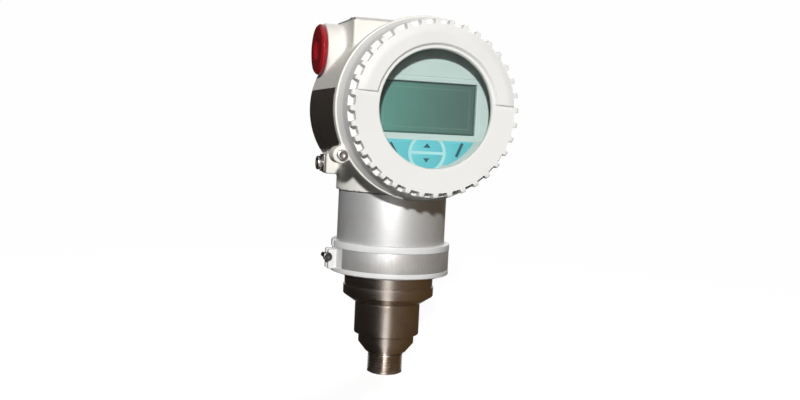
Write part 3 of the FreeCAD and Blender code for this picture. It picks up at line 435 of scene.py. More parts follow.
class Tree:
    """A short way to add nodes to a node tree and link them."""

    def __init__(self, tree):
        self.tree = tree

    def add(self, kind, **settings):
        """A new node; each setting goes to the input of that name, or else to the node itself."""
        node = self.tree.nodes.new(kind)
        for key, setting in settings.items():
            if key in node.inputs:
                node.inputs[key].default_value = setting
            else:
                setattr(node, key, setting)
        return node

    def link(self, output, target):
        self.tree.links.new(output, target)

    def ramp(self, value, stops):
        """A colour ramp over (place, colour) stops."""
        node = self.add("ShaderNodeValToRGB")
        ramp = node.color_ramp
        while len(ramp.elements) < len(stops):
            ramp.elements.new(0.5)
        for element, (place, color) in zip(ramp.elements, stops):
            element.position = place
            element.color = (*color, 1.0)
        self.link(value, node.inputs["Fac"])
        return node.outputs["Color"]

    def grey(self, value, low_value, high_value, start=0.3, stop=0.7):
        """A value between start and stop brought between two others."""
        node = self.add("ShaderNodeMapRange")
        limits = {"From Min": start, "From Max": stop, "To Min": low_value, "To Max": high_value}
        for key, limit in limits.items():
            node.inputs[key].default_value = limit
        self.link(value, node.inputs["Value"])
        return node.outputs["Result"]

    def mix(self, factor, first, second):
        """Two colours mixed; each of the three is a value or another node's output."""
        node = self.add("ShaderNodeMix", data_type="RGBA")
        for socket, content in ((node.inputs["Factor"], factor), (node.inputs[6], first),
                                (node.inputs[7], second)):
            if isinstance(content, tuple):
                socket.default_value = (*content, 1.0)
            else:
                self.link(content, socket)
        return node.outputs[2]

    def math(self, operation, first, second=0.0):
        """One sum over values or other nodes' outputs."""
        node = self.add("ShaderNodeMath", operation=operation)
        for socket, content in zip(node.inputs, (first, second)):
            if isinstance(content, float):
                socket.default_value = content
            else:
                self.link(content, socket)
        return node.outputs[0]


class Nodes(Tree):
    """One material's node tree, round its Principled shader."""

    def __init__(self, name, color, roughness=0.5, metallic=0.0):
        self.material = bpy.data.materials.new(name)
        self.material.use_nodes = True
        super().__init__(self.material.node_tree)
        self.shader = self.tree.nodes["Principled BSDF"]
        self.output = self.tree.nodes["Material Output"]
        self.shader.inputs["Base Color"].default_value = (*color, 1.0)
        self.shader.inputs["Roughness"].default_value = roughness
        self.shader.inputs["Metallic"].default_value = metallic
        self.material.diffuse_color = (*color, 1.0)
        self.place = self.tree.nodes.new("ShaderNodeTexCoord").outputs["Object"]

    def noise(self, scale, detail=3.0, roughness=0.55):
        """Noise whose features are about 1/scale metres across; scale may differ along X, Y and Z."""
        place = self.add("ShaderNodeMapping")
        place.inputs["Scale"].default_value = scale if isinstance(scale, tuple) else (scale,) * 3
        self.link(self.place, place.inputs["Vector"])
        node = self.add("ShaderNodeTexNoise", Scale=1.0, Detail=detail, Roughness=roughness)
        self.link(place.outputs["Vector"], node.inputs["Vector"])
        return node.outputs["Fac"]

    def color(self, output):
        self.link(output, self.shader.inputs["Base Color"])

    def rough(self, output):
        self.link(output, self.shader.inputs["Roughness"])

    def bump(self, output, distance, strength=1.0):
        """Relief that stands out by a distance in metres."""
        node = self.add("ShaderNodeBump", Strength=strength, Distance=distance)
        self.link(output, node.inputs["Height"])
        self.link(node.outputs["Normal"], self.shader.inputs["Normal"])


def paint(name, color):
    """Powder coat on a casting: fine orange peel, faint stains and warm spots."""
    shade, grain, roughness = 0.95, 0.00006, 0.5
    nodes = Nodes(name, color, roughness)
    stain = nodes.noise(26, 5)
    darker = tuple(c * shade for c in color)
    warm = (color[0] * 0.98, color[1] * 0.95, color[2] * 0.87)
    base = nodes.mix(nodes.grey(stain, 0.0, 1.0, 0.42, 0.72), color, darker)
    spots = nodes.noise(210, 4, 0.7)
    base = nodes.mix(nodes.grey(spots, 0.0, 0.55, 0.64, 0.74), base, warm)
    nodes.color(base)
    nodes.rough(nodes.grey(nodes.noise(90, 4), roughness - 0.07, roughness + 0.1))
    nodes.bump(nodes.noise(1500, 2), grain, 0.5)
    nodes.shader.inputs["Specular IOR Level"].default_value = 0.3
    return nodes.material


def steel(name, color, roughness, stretch=(60, 60, 5200), stain=0.6, brown=(0.30, 0.22, 0.14), depth=0.00001,
          metal=1.0, drawn=0.0):
    """Turned or brushed stainless steel: fine lines along the turning, and a brown tarnish."""
    nodes = Nodes(name, color, roughness, metal)
    lines = nodes.noise(stretch, 3, 0.7)
    patches = nodes.noise(70, 5, 0.6)
    dull = tuple(c * 0.72 for c in color)
    base = nodes.mix(nodes.grey(lines, 0.0, 0.3, 0.35, 0.75), color, dull)
    base = nodes.mix(nodes.grey(patches, 0.0, stain, 0.5, 0.8), base, brown)
    nodes.color(base)
    nodes.rough(nodes.grey(lines, roughness - 0.03, roughness + 0.06))
    nodes.bump(lines, depth, 0.6)
    if drawn:
        nodes.shader.inputs["Anisotropic"].default_value = drawn
        around = nodes.add("ShaderNodeTangent", direction_type="RADIAL", axis="Z")
        nodes.link(around.outputs["Tangent"], nodes.shader.inputs["Tangent"])
    return nodes.material


def plastic(name, color, roughness=0.45, grain=0.00002):
    """Moulded plastic or rubber: a faint cloud in its colour, and a fine grain."""
    nodes = Nodes(name, color, roughness)
    cloud = nodes.noise(60, 4)
    nodes.color(nodes.mix(nodes.grey(cloud, 0.0, 0.35), color, tuple(c * 0.86 for c in color)))
    nodes.rough(nodes.grey(nodes.noise(240, 3), roughness - 0.06, roughness + 0.08))
    nodes.bump(nodes.noise(1400, 2), grain, 0.4)
    return nodes.material


def clear_pane(name):
    """A clear pane: see-through, with the gloss of glass at grazing angles."""
    nodes = Nodes(name, (1.0, 1.0, 1.0), 0.03)
    nodes.shader.inputs["Specular IOR Level"].default_value = 1.0
    nodes.color(nodes.ramp(nodes.noise(40, 3), [(0.3, (0.92, 0.97, 0.96)), (0.7, (1.0, 1.0, 1.0))]))
    nodes.rough(nodes.grey(nodes.noise(180, 4), 0.02, 0.06))
    clear = nodes.add("ShaderNodeBsdfTransparent")
    clear.inputs["Color"].default_value = (0.97, 0.99, 0.985, 1.0)
    facing = nodes.add("ShaderNodeLayerWeight")
    facing.inputs["Blend"].default_value = 0.12
    share = nodes.grey(facing.outputs["Fresnel"], 0.02, 0.35, 0.0, 1.0)
    mixer = nodes.add("ShaderNodeMixShader")
    nodes.link(share, mixer.inputs[0])
    nodes.link(clear.outputs[0], mixer.inputs[1])
    nodes.link(nodes.shader.outputs[0], mixer.inputs[2])
    nodes.link(mixer.outputs[0], nodes.output.inputs["Surface"])
    return nodes.material


def screen(name, left, right):
    """Liquid crystal glass with painted light: lighter on its left as painted shading, a dark border of
    painted shadow from the frame, and a fine line all round inside it as a painted reflection.
    """
    half_w, half_h, centre_z = (size * MM for size in (*SCREEN_HALF, SCREEN_Z))
    nodes = Nodes(name, left, 0.18)
    split = nodes.add("ShaderNodeSeparateXYZ")
    nodes.link(nodes.place, split.inputs[0])
    # Painted shading: the glass is lighter on its left, towards the lamp, and darker on its right.
    across = nodes.grey(split.outputs["X"], 0.0, 1.0, -0.028, 0.028)
    between = tuple((a + b) / 2 for a, b in zip(left, right))
    base = nodes.ramp(across, [(0.0, left), (0.45, between), (1.0, right)])
    cloud = nodes.noise(45, 3)
    base = nodes.mix(nodes.grey(cloud, 0.0, 0.25), base, tuple(c * 0.8 for c in right))
    side = nodes.math("SUBTRACT", nodes.math("ABSOLUTE", split.outputs["X"]), half_w)
    rise = nodes.math("ABSOLUTE", nodes.math("SUBTRACT", split.outputs["Z"], centre_z))
    edge = nodes.math("MAXIMUM", side, nodes.math("SUBTRACT", rise, half_h))
    # Painted shadow: a dark border where the frame shades the glass.
    base = nodes.mix(nodes.grey(edge, 0.0, 0.72, -0.0013, -0.0006), base, (0.02, 0.05, 0.045))
    # Painted reflection: a fine pale line all round inside the border, the doubled edge that the window's
    # glass reflects.
    line = nodes.math("ABSOLUTE", nodes.math("ADD", edge, 0.0033))
    base = nodes.mix(nodes.grey(line, 0.14, 0.0, 0.0001, 0.0004), base, (0.36, 0.52, 0.48))
    nodes.color(base)
    nodes.rough(nodes.grey(nodes.noise(3000, 1), 0.16, 0.22))
    return nodes.material


def make_materials(settings):
    """Every look by its name: the record's material slots, and the looks that differ within a slot."""
    white = tuple(settings.paint_color)
    brown = tuple(settings.steel_color)
    MATERIALS.update({
        "white_paint": paint("coat_white", white),
        "cast_paint": paint("coat_cast", (white[0] * 0.985, white[1] * 0.97, white[2] * 0.93)),
        "ring_white": plastic("ring_white", (0.84, 0.84, 0.83), 0.35),
        "turned_steel": steel("steel_turned", brown, 0.2, stain=0.45, drawn=0.75),
        "neck_steel": steel("steel_neck", (0.66, 0.66, 0.66), 0.46, stain=0.3, brown=(0.46, 0.40, 0.32),
                            metal=0.55, drawn=0.3),
        "plate_steel": steel("steel_plate", (0.57, 0.565, 0.56), 0.56, (900, 900, 90), 0.35, metal=0.6),
        # steel_side: the near-black colour of the stainless side plate is a painted reflection of dark
        # surroundings, not the steel's own colour.
        "side_steel": steel("steel_side", (0.12, 0.10, 0.09), 0.42, (60, 4200, 60), 0.7,
                            (0.06, 0.04, 0.03), metal=0.45),
        "screw_steel": steel("steel_screw", (0.46, 0.44, 0.42), 0.30, (300, 300, 300), 0.5),
        "dark_screw": steel("steel_screw_dark", (0.13, 0.125, 0.12), 0.36, (300, 300, 300), 0.5,
                            (0.07, 0.05, 0.035)),
        "seal_rubber": plastic("rubber_black", (0.012, 0.012, 0.012), 0.6),
        "clear_glass": clear_pane("glass_clear"),
        "bezel": plastic("bezel_mint", tuple(settings.bezel_color), 0.5, 0.00001),
        # The lcd's left and right colours make a painted shading: lighter towards the lamp on the left,
        # darker on the right.
        "lcd": screen("lcd", (0.125, 0.34, 0.28), (0.082, 0.145, 0.125)),
        "keys": plastic("keys_film", tuple(settings.key_color), 0.4, 0.000006),
        "key_line": plastic("keys_line", (0.50, 0.88, 0.90), 0.4, 0.000006),
        "key_mark": plastic("keys_mark", (0.006, 0.10, 0.13), 0.4, 0.000006),
        "board": plastic("board_green", (0.02, 0.13, 0.06), 0.4),
        "dark_plastic": plastic("plastic_black", (0.02, 0.02, 0.022), 0.4),
        "plug_red": plastic("plug_red", tuple(settings.plug_color), 0.2, 0.00001),
        "button_dark": plastic("button_dark", (0.04, 0.04, 0.042), 0.45),
        "fluor": plastic("gasket_pale", (0.62, 0.61, 0.56), 0.5),
    })


# ---------------------------------------------------------------- sizes and colours a user would change

class TransmitterLook(bpy.types.PropertyGroup):
    """Colours and sizes of the transmitter itself"""
    paint_color: bpy.props.FloatVectorProperty(
        name="Paint", description="Colour of the powder coat", subtype="COLOR", size=3,
        default=(0.925, 0.915, 0.885), min=0.0, max=1.0)
    steel_color: bpy.props.FloatVectorProperty(
        name="Turned steel", description="Colour of the turned steel", subtype="COLOR", size=3,
        default=(0.58, 0.515, 0.46), min=0.0, max=1.0)
    bezel_color: bpy.props.FloatVectorProperty(
        name="Bezel", description="Colour of the display's frame", subtype="COLOR", size=3,
        default=(0.64, 0.74, 0.71), min=0.0, max=1.0)
    key_color: bpy.props.FloatVectorProperty(
        name="Keys", description="Colour of the touch keys", subtype="COLOR", size=3,
        default=(0.15, 0.64, 0.72), min=0.0, max=1.0)
    plug_color: bpy.props.FloatVectorProperty(
        name="Plug", description="Colour of the conduit plug", subtype="COLOR", size=3,
        default=(0.36, 0.010, 0.016), min=0.0, max=1.0)
    cast_pitch: bpy.props.FloatProperty(
        name="Casting grid", description="Grid of the casting's surface", default=0.001,
        min=0.0006, max=0.002, precision=4, unit="LENGTH")
    cast_fillet: bpy.props.FloatProperty(
        name="Casting fillet", description="Fillet between the casting's forms", default=0.003,
        min=0.0005, max=0.006, precision=4, unit="LENGTH")
    thread_pitch: bpy.props.FloatProperty(
        name="Process thread pitch", description="Pitch of the process thread", default=0.001814,
        min=0.001, max=0.003, precision=5, unit="LENGTH")
    edge: bpy.props.FloatProperty(
        name="Edge", description="Rounding of machined edges", default=0.0003, min=0.0001, max=0.001,
        precision=5, unit="LENGTH")


class TransmitterStage(bpy.types.PropertyGroup):
    """Camera, lamps and background"""
    camera_distance: bpy.props.FloatProperty(
        name="Camera distance", description="From the camera to the neck's axis", default=0.5497,
        min=0.2, max=2.0, unit="LENGTH")
    camera_turn: bpy.props.FloatProperty(
        name="Camera turn", description="Turn of the camera to the left of the display's axis",
        default=math.radians(17.80), subtype="ANGLE")
    camera_roll: bpy.props.FloatProperty(
        name="Camera roll", description="Roll of the camera", default=math.radians(-2.77),
        subtype="ANGLE")
    camera_height: bpy.props.FloatProperty(
        name="Camera height", description="Height of the camera above the process shoulder",
        default=0.1285, unit="LENGTH")
    key_power: bpy.props.FloatProperty(
        name="Key lamp", description="Light of the main lamp; 1 shows a colour as it is", default=0.97,
        min=0.0, max=5.0)
    key_turn: bpy.props.FloatProperty(
        name="Key turn", description="Turn of the main lamp to the left of the display's axis",
        default=math.radians(19.5), subtype="ANGLE")
    key_rise: bpy.props.FloatProperty(
        name="Key rise", description="Height of the main lamp above the level", default=math.radians(16.8),
        subtype="ANGLE")
    key_spread: bpy.props.FloatProperty(
        name="Key spread", description="Apparent size of the main lamp", default=math.radians(3.0),
        subtype="ANGLE")
    back_power: bpy.props.FloatProperty(
        name="Back lamp", description="Light of the lamp behind the object", default=0.55, min=0.0,
        max=5.0)
    surround: bpy.props.FloatProperty(
        name="Surround", description="Diffuse light of the room", default=0.055, min=0.0, max=2.0)
    background: bpy.props.FloatProperty(
        name="Background", description="Whiteness of the background", default=0.99, min=0.0, max=1.0)


# ---------------------------------------------------------------- sensor

def process_stub(settings):
    """The process stub: the thread's ridges, a cone, a nose and the shank, bored right through."""
    pitch, edge = settings.thread_pitch * 1000, settings.edge * 1000
    base, top = span("process_connection")
    major, depth, columns = 10.4775, 1.05, 120
    crest, undercut = major - 0.02, major - 1.2
    bore, nose, shank, spigot = 3.0, 16.5, 19.28, 15.0
    start, stop = base + 0.9, -1.3
    angles = np.arange(columns) * 360.0 / columns
    rows = np.arange(start, stop, pitch / 10)
    height = np.repeat(rows[:, None], columns, 1)
    phase = (height / pitch - angles[None, :] / 360.0) % 1.0
    ridge = np.clip(np.abs(phase - 0.5) * 2.6 - 0.15, 0, 1)
    fade = np.clip((height - start) / pitch, 0, 1) * np.clip((stop - height) / (pitch * 0.6), 0, 1)
    radius = crest - depth * (1 - ridge) * (0.25 + 0.75 * fade) * np.minimum(fade * 4, 1)
    turn = np.radians(angles)[None, :]
    thread = np.stack([radius * np.cos(turn), radius * np.sin(turn), height], -1).reshape(-1, 3)
    below = soften([(bore, 6.0), (bore, base), (major - 1.5, base), (major - 0.35, start)], edge)
    above = soften([(crest, stop), (undercut, stop + 0.15), (undercut, -0.02), (12.0, -0.02),
                    (nose, 5.48, 0.8), (nose, 9.98, 0.5), (shank, 11.18, 0.6), (shank, 29.6, 0.4),
                    (shank - 0.38, 30.28), (spigot, 30.3), (spigot, top), (bore, top)], edge)
    shape = joined([turned(below, columns), (thread, grid_faces(len(rows), columns)),
                    turned(divided(above, 6.0), columns)])
    add_piece("process_stub", shape, "sensor", "turned_steel", ("process_connection",))


def sensor_collar(edge):
    """The coned collar, with the weld groove round it and the bore for the cell."""
    base, top = span("sensor_collar")
    bore, foot, outer, upper, seat = 15.06, 20.8, 26.8, 26.2, 21.95
    groove, groove_low, groove_high, step = 26.0, base + 9.5, base + 10.5, top - 3.0
    profile = soften([(bore, top), (bore, base), (foot, base, 0.4), (outer, base + 4.1, 0.8),
                      (outer, groove_low - 0.05, 0.25), (groove, groove_low, 0.2), (groove, groove_high, 0.2),
                      (upper, groove_high + 0.05, 0.25), (upper, step, 0.3), (seat, step), (seat, top)],
                     edge, closed=True)
    add_piece("collar_turned", turned(profile, 128, closed=True), "sensor", "turned_steel",
              ("sensor_collar",), 30)


def neck_can(edge):
    """The brushed can of the neck, open at the top, with a hole in its floor."""
    base, top = span("sensor_neck")
    outer, inner, hole, floor = 31.8, 29.6, 22.0, base + 3.0
    profile = soften([(hole, base), (outer, base, 0.8), (outer, top, 0.3), (inner, top), (inner, floor),
                      (hole, floor)], edge, 4, closed=True)
    add_piece("neck_can", turned(profile, 144, closed=True), "sensor", "neck_steel",
              ("sensor_neck",), 30)


class SENSOR_OT_pieces(bpy.types.Operator):
    """Turn the stub, the collar and the neck"""
    bl_idname = "transmitter.sensor"
    bl_label = "Sensor"

    def execute(self, context):
        settings = context.scene.transmitter_look
        process_stub(settings)
        sensor_collar(settings.edge * 1000)
        neck_can(settings.edge * 1000)
        return {"FINISHED"}


class TAG_OT_pieces(bpy.types.Operator):
    """Build the clamp ring with its ears, screw and steel tag"""
    bl_idname = "transmitter.tag"
    bl_label = "Tag ring"

    def execute(self, context):
        base, top = span("tag_ring")
        shelf, brow = base + 3.6, top - 4.4
        ear_gap, ear_t = 1.25, 3.5
        self.clamp(base, top, shelf, brow, ear_gap, ear_t)
        x, z = middle("tag_ring_screw")[[0, 2]]
        place = towards((x, -ear_gap - ear_t, z), "-y")
        add_piece("tag_screw", placed(cap_screw(2.6, 1.8, 1.5, 10.0), place), "sensor",
                  "dark_screw", ("tag_ring_screw",))
        inner, outer = 34.35, 34.82
        foot, crest = shelf + 0.1, brow - 0.1
        outline = soften([(inner, foot), (outer, foot), (outer, crest), (inner, crest)], 0.12, 2, closed=True)
        add_piece("tag_band", part_turned(outline, np.linspace(201.0, 380.0, 120)), "sensor",
                  "plate_steel", ("tag_plate",))
        return {"FINISHED"}

    def clamp(self, base, top, shelf, brow, ear_gap, ear_t):
        """The split ring, recessed between its shelf and its brow for the tag, and its two ears."""
        foot, crest, split = base + 0.8, top - 0.6, 2.1
        bore, recess, outer = 31.86, 34.3, 35.0
        outline = soften([(bore, foot, 0.3), (outer, foot, 0.5), (outer, shelf, 0.2),
                          (recess, shelf + 0.05, 0.1), (recess, brow - 0.05, 0.1), (outer, brow, 0.2),
                          (outer, crest, 0.6), (bore, crest, 0.3)], 0.3, closed=True)
        parts = [part_turned(outline, np.linspace(180 + split, 540 - split, 150))]
        tip, root = span("tag_ring", 0)[0] + 5.0, -32.2
        for near, far in ((-ear_gap - ear_t, -ear_gap), (ear_gap, ear_gap + ear_t)):
            parts.append(rounded_box((tip, near, base + 2.4), (root, far, top - 5.6), 0.7))
        add_piece("tag_clamp", joined(parts), "sensor", "ring_white", ("tag_ring",))


# ---------------------------------------------------------------- housing

def on_circle(radius, angle):
    """A place (x, z) at a radius round the barrel's axis."""
    turn = math.radians(angle)
    return radius * math.cos(turn), BARREL_Z + radius * math.sin(turn)


def housing_distance(fillet):
    """The casting as a distance function of points in millimetres."""
    z = BARREL_Z
    body_r, flange_r, flange_t, socket_r = 46.0, 49.8, 5.0, 33.5
    boss_r, spot_r, entry_r, passage_r = 15.3, 15.9, 9.35, 7.0
    lug_r, lug_len = 4.6, 10.0
    front_lug = on_circle(52.1, 210)
    rear_lug = on_circle(44.6, 320)
    front_room_r, front_thread_r, rear_room_r, rear_thread_r, rear_seat_r = 41.5, 43.05, 36.0, 37.55, 42.5
    wall_front, wall_back = 3.5, 7.5
    swivel_r, swivel_bore_r, wire_bore_r = 22.0, 18.05, 3.0
    button_r, button_y = 3.15, 6.0

    def outside(p):
        body = round_rod(p, 1, (0, z), body_r, FRONT_FACE + 1, REAR_FACE, 0.8)
        body = melted(body, round_rod(p, 2, (0, 0), socket_r, RIM_Z, z, 0.5), fillet)
        block = round_block(p, (-32, -15, z + 15), (32, REAR_FACE, BLOCK_TOP), 1.2)
        body = melted(body, block, fillet)
        body = melted(body, round_rod(p, 0, CONDUIT, boss_r, -BOSS_X, BOSS_X, 0.7), fillet * 0.7)
        earth = round_block(p, (-41, -1, z - 38.5), (-20, 11, z - 26.5), 0.8)
        body = melted(body, earth, fillet * 0.6)
        lug = round_rod(p, 1, rear_lug, lug_r, REAR_FACE - lug_len, REAR_FACE, 0.7)
        body = melted(body, lug, fillet * 0.7)
        flange = round_rod(p, 1, (0, z), flange_r, FRONT_FACE, FRONT_FACE + flange_t, 0.7)
        body = melted(body, flange, fillet * 0.35)
        lug = round_rod(p, 1, front_lug, lug_r, FRONT_FACE, FRONT_FACE + lug_len, 0.7)
        return melted(body, lug, fillet * 0.6)

    def bores(p):
        cuts = [round_rod(p, 1, (0, z), front_thread_r, FRONT_FACE - 9, FRONT_FACE + 10),
                round_rod(p, 1, (0, z), rear_thread_r, REAR_FACE - 7, REAR_FACE + 9),
                round_rod(p, 1, (0, z), rear_seat_r, REAR_FACE, REAR_FACE + 30),
                round_rod(p, 2, (0, 0), swivel_bore_r, RIM_Z - 5, RIM_Z + 12),
                round_rod(p, 2, (0, 0), wire_bore_r, RIM_Z, RIM_Z + 20)]
        for side in (-1, 1):
            for radius, near, far in ((spot_r, BOSS_X, 50.0), (entry_r, BOSS_X - 12.0, 50.0),
                                      (passage_r, BOSS_X - 34.0, BOSS_X)):
                cuts.append(round_rod(p, 0, CONDUIT, radius, *sorted((side * near, side * far))))
        for x in (-12.0, 0.0, 12.0):
            cuts.append(round_rod(p, 2, (x, button_y), button_r, BLOCK_TOP - 6, BLOCK_TOP + 5))
        return np.min(cuts, axis=0)

    def distance(p):
        rooms = np.minimum(round_rod(p, 1, (0, z), front_room_r, FRONT_FACE - 9, wall_front, 0.5),
                           round_rod(p, 1, (0, z), rear_room_r, wall_back, REAR_FACE + 9, 0.5))
        body = carved(outside(p), rooms, 0.3)
        body = melted(body, round_rod(p, 2, (0, 0), swivel_r, RIM_Z + 1, RIM_Z + 16, 0.5), 1.0)
        return carved(body, bores(p), 0.5)

    return distance


class HOUSING_OT_pieces(bpy.types.Operator):
    """Cast the barrel housing with its fillets, rooms and conduit entries"""
    bl_idname = "transmitter.housing"
    bl_label = "Housing"

    def execute(self, context):
        settings = context.scene.transmitter_look
        margin = 1.7
        points, faces, normals = surface_of(
            housing_distance(settings.cast_fillet * 1000), low("housing") - margin, high("housing") + margin,
            settings.cast_pitch * 1000)
        points = np.clip(points, low("housing"), high("housing"))
        add_piece("housing_casting", (points, faces), "housing", "cast_paint", ("housing",),
                  normals=normals)
        self.side_plate()
        return {"FINISHED"}

    def side_plate(self):
        """The steel plate rolled to the barrel's side."""
        start, stop = span("side_plate", 1)
        inner, outer, edge = 46.06, 46.5, 0.15
        outline = soften([(inner, start, 0.0), (outer, start), (outer, stop), (inner, stop, 0.0)], edge, 2,
                         closed=True)
        shape = part_turned(divided(outline, 8.0, True), np.linspace(148.0, 192.0, 45))
        add_piece("side_sheet", placed(shape, towards((0, 0, BARREL_Z), "y")), "housing",
                  "side_steel", ("side_plate",))


# ---------------------------------------------------------------- covers

NOTCH_PITCH = 10.0
STEP_RADIUS = 38.0


def smooth_step(value):
    """0 below 0 and 1 above 1, with a smooth rise between."""
    value = np.clip(value, 0, 1)
    return value * value * (3 - 2 * value)


def notched(radius, floor, start):
    """A shape for turned(): notches from a height upwards, sunk from a radius down to their floor."""
    half_width, flank, rim = 3.55, 0.7, 2.6

    def shape(r, z, angle):
        nominal = np.degrees(angle) % NOTCH_PITCH
        offset = np.abs(np.where(nominal > NOTCH_PITCH / 2, nominal - NOTCH_PITCH, nominal))
        depth = smooth_step((half_width - offset) / flank) * smooth_step((z - start) / flank)
        return r - np.where(r > radius - rim, depth * np.maximum(r - floor, 0), 0), z, angle
    return shape


def face_band(step, inner, outer, base):
    """A shape for turned(): the band raised on the face from a base height ends at two level steps."""
    reach, width = 3.0, 0.8

    def shape(r, z, angle):
        height = STEP_RADIUS * np.sin(angle)
        near = np.clip(1 - np.abs(height - step) / reach, 0, 1)
        level = np.clip(height / np.maximum(r, 20.0), -1, 1)
        straight = np.where(np.cos(angle) >= 0, np.arcsin(level), math.pi - np.arcsin(level))
        straight = np.where(straight < 0, straight + 2 * math.pi, straight)
        raised = (r >= inner - 0.1) & (r <= outer + 0.05) & (z > base - 0.02)
        difference = (straight - angle + math.pi) % (2 * math.pi) - math.pi
        angle = angle + difference * np.where(raised, near, 0)
        stands = smooth_step((r * np.sin(angle) - step) / width + 0.5)
        return r, np.where(raised, base + (z - base) * stands, z), angle
    return shape


def notch_angles():
    """Columns for the notches: close together at each notch's two flanks."""
    half = (1.5, 2.8, 3.0, 3.2, 3.4, 3.6, 4.4)
    offsets = [-offset for offset in half] + [0.0] + list(half)
    return np.array([pitch * NOTCH_PITCH + offset for pitch in range(36) for offset in offsets]) % 360


def step_angles(step):
    """More columns beside the steps where the raised band ends."""
    angles = []
    for lift in np.linspace(-0.45, 0.45, 7):
        angle = math.degrees(math.asin((step + lift) / STEP_RADIUS))
        angles += [angle, 180 - angle]
    return np.array(angles)


def rows_at(radius, heights):
    """Rows close together, where the notches begin."""
    return [(radius, height, 0.0) for height in heights]


class COVER_OT_pieces(bpy.types.Operator):
    """Build the notched front and rear covers, with the window's seal"""
    bl_idname = "transmitter.covers"
    bl_label = "Covers"

    def execute(self, context):
        seat = 0.12
        self.front(seat)
        self.rear(seat)
        self.seal()
        return {"FINISHED"}

    def front(self, seat):
        """The display cover: thread, O-ring groove, flared skirt, notched rim, raised band and window."""
        top, lip, window, rim, notch_floor, notch_z = 20.0, 16.0, 31.0, 46.5, 43.9, 12.7
        step, inner, outer = 5.5, 32.8, 43.5
        face = top - 1.3
        room, bore, groove, groove_top = 37.6, 39.0, (43.7, 45.7), 1.8
        thread_r, thread_end, pitch = 41.9, -9.0, 1.44
        ridges = [(thread_r + 2.1 * abs((k / 6.0) % 1.0 - 0.5), thread_end + 0.8 + pitch * k / 6.0, 0.0)
                  for k in range(1, 33)]
        outline = [(bore, thread_end, 0.0), (43.0, thread_end, 0.5)] + ridges + [
            (42.9, seat, 0.1), (groove[0], seat, 0.1), (groove[0], groove_top, 0.1),
            (groove[1], groove_top, 0.1), (groove[1], seat, 0.1),
            (49.0, seat, 0.3), (48.1, 2.2, 1.5), (47.1, 5.5, 3.0), (rim, 12.0, 1.0)]
        outline += rows_at(rim, (notch_z, 12.87, 13.05, 13.22, 13.4)) + [
            (rim, face, 2.2), (outer, face, 0.0), (outer - 2.0, top, 0.0), (inner + 1.2, top, 0.0),
            (inner, face, 0.0), (window + 0.5, face, 0.1), (window, face - 0.8, 0.2), (window, lip, 0.2),
            (room, lip, 0.0), (room, 8.0, 0.0), (bore, 8.0, 0.0)]
        profile = divided(soften(outline, 0.35, 3, closed=True), 3.0, True)
        angles = np.unique(np.round(np.concatenate([notch_angles(), step_angles(step)]), 3))
        notches, band = notched(rim, notch_floor, notch_z), face_band(step, inner, outer, face)

        def shape(r, z, angle):
            cut = r - notches(r, z, angle)[0]
            r, z, angle = band(r, z, angle)
            return r - cut, z, angle

        place = towards((0, FRONT_FACE, BARREL_Z), "-y", COVER_TURN)
        add_piece("front_cover_cast", placed(turned(profile, closed=True, angles=angles, shape=shape), place),
                  "front_cover", "white_paint", ("front_cover",), 38)

    def rear(self, seat):
        """The blind terminal cover, with a shallow dish in its face."""
        radius, length, spigot, room, dish = 41.5, 14.0, 37.5, 33.5, 0.9
        groove, groove_top, notch_z = (38.6, 40.4), 1.8, 9.15
        outline = [
            (room, -REAR_SPIGOT, 0.0), (spigot, -REAR_SPIGOT, 0.5), (spigot, seat, 0.0),
            (groove[0], seat, 0.0), (groove[0], groove_top, 0.0), (groove[1], groove_top, 0.0),
            (groove[1], seat, 0.0), (radius, seat, 0.3)]
        outline += rows_at(radius, (9.2, 9.35, 9.5, 9.7, 9.85)) + [
            (radius, length - 3, 0.8), (radius - 3, length, 0.8), (31.0, length, 0.6),
            (29.6, length - dish, 0.6), (0.01, length - dish, 0.0), (0.01, length - 4, 0.0),
            (room, length - 4, 0.4)]
        profile = divided(soften(outline, 0.3, 3, closed=True), 6.0, True)
        shape = turned(profile, closed=True, angles=np.unique(np.round(notch_angles(), 3)),
                       shape=notched(radius, radius - 2.3, notch_z))
        add_piece("rear_cover_cast", placed(shape, towards((0, REAR_FACE, BARREL_Z), "y")), "rear_cover",
                  "white_paint", ("rear_cover",), 38)

    def seal(self):
        """The flat seal that the window rests on."""
        front, back = span("window_seal", 1)
        inner, outer = 31.3, 37.5
        outline = soften([(inner, 0.0), (outer, 0.0), (outer, back - front), (inner, back - front)], 0.2, 2,
                         closed=True)
        shape = placed(turned(outline, 128, closed=True), towards((0, back, BARREL_Z), "-y"))
        add_piece("window_gasket", shape, "front_cover", "seal_rubber", ("window_seal",))


# ---------------------------------------------------------------- display

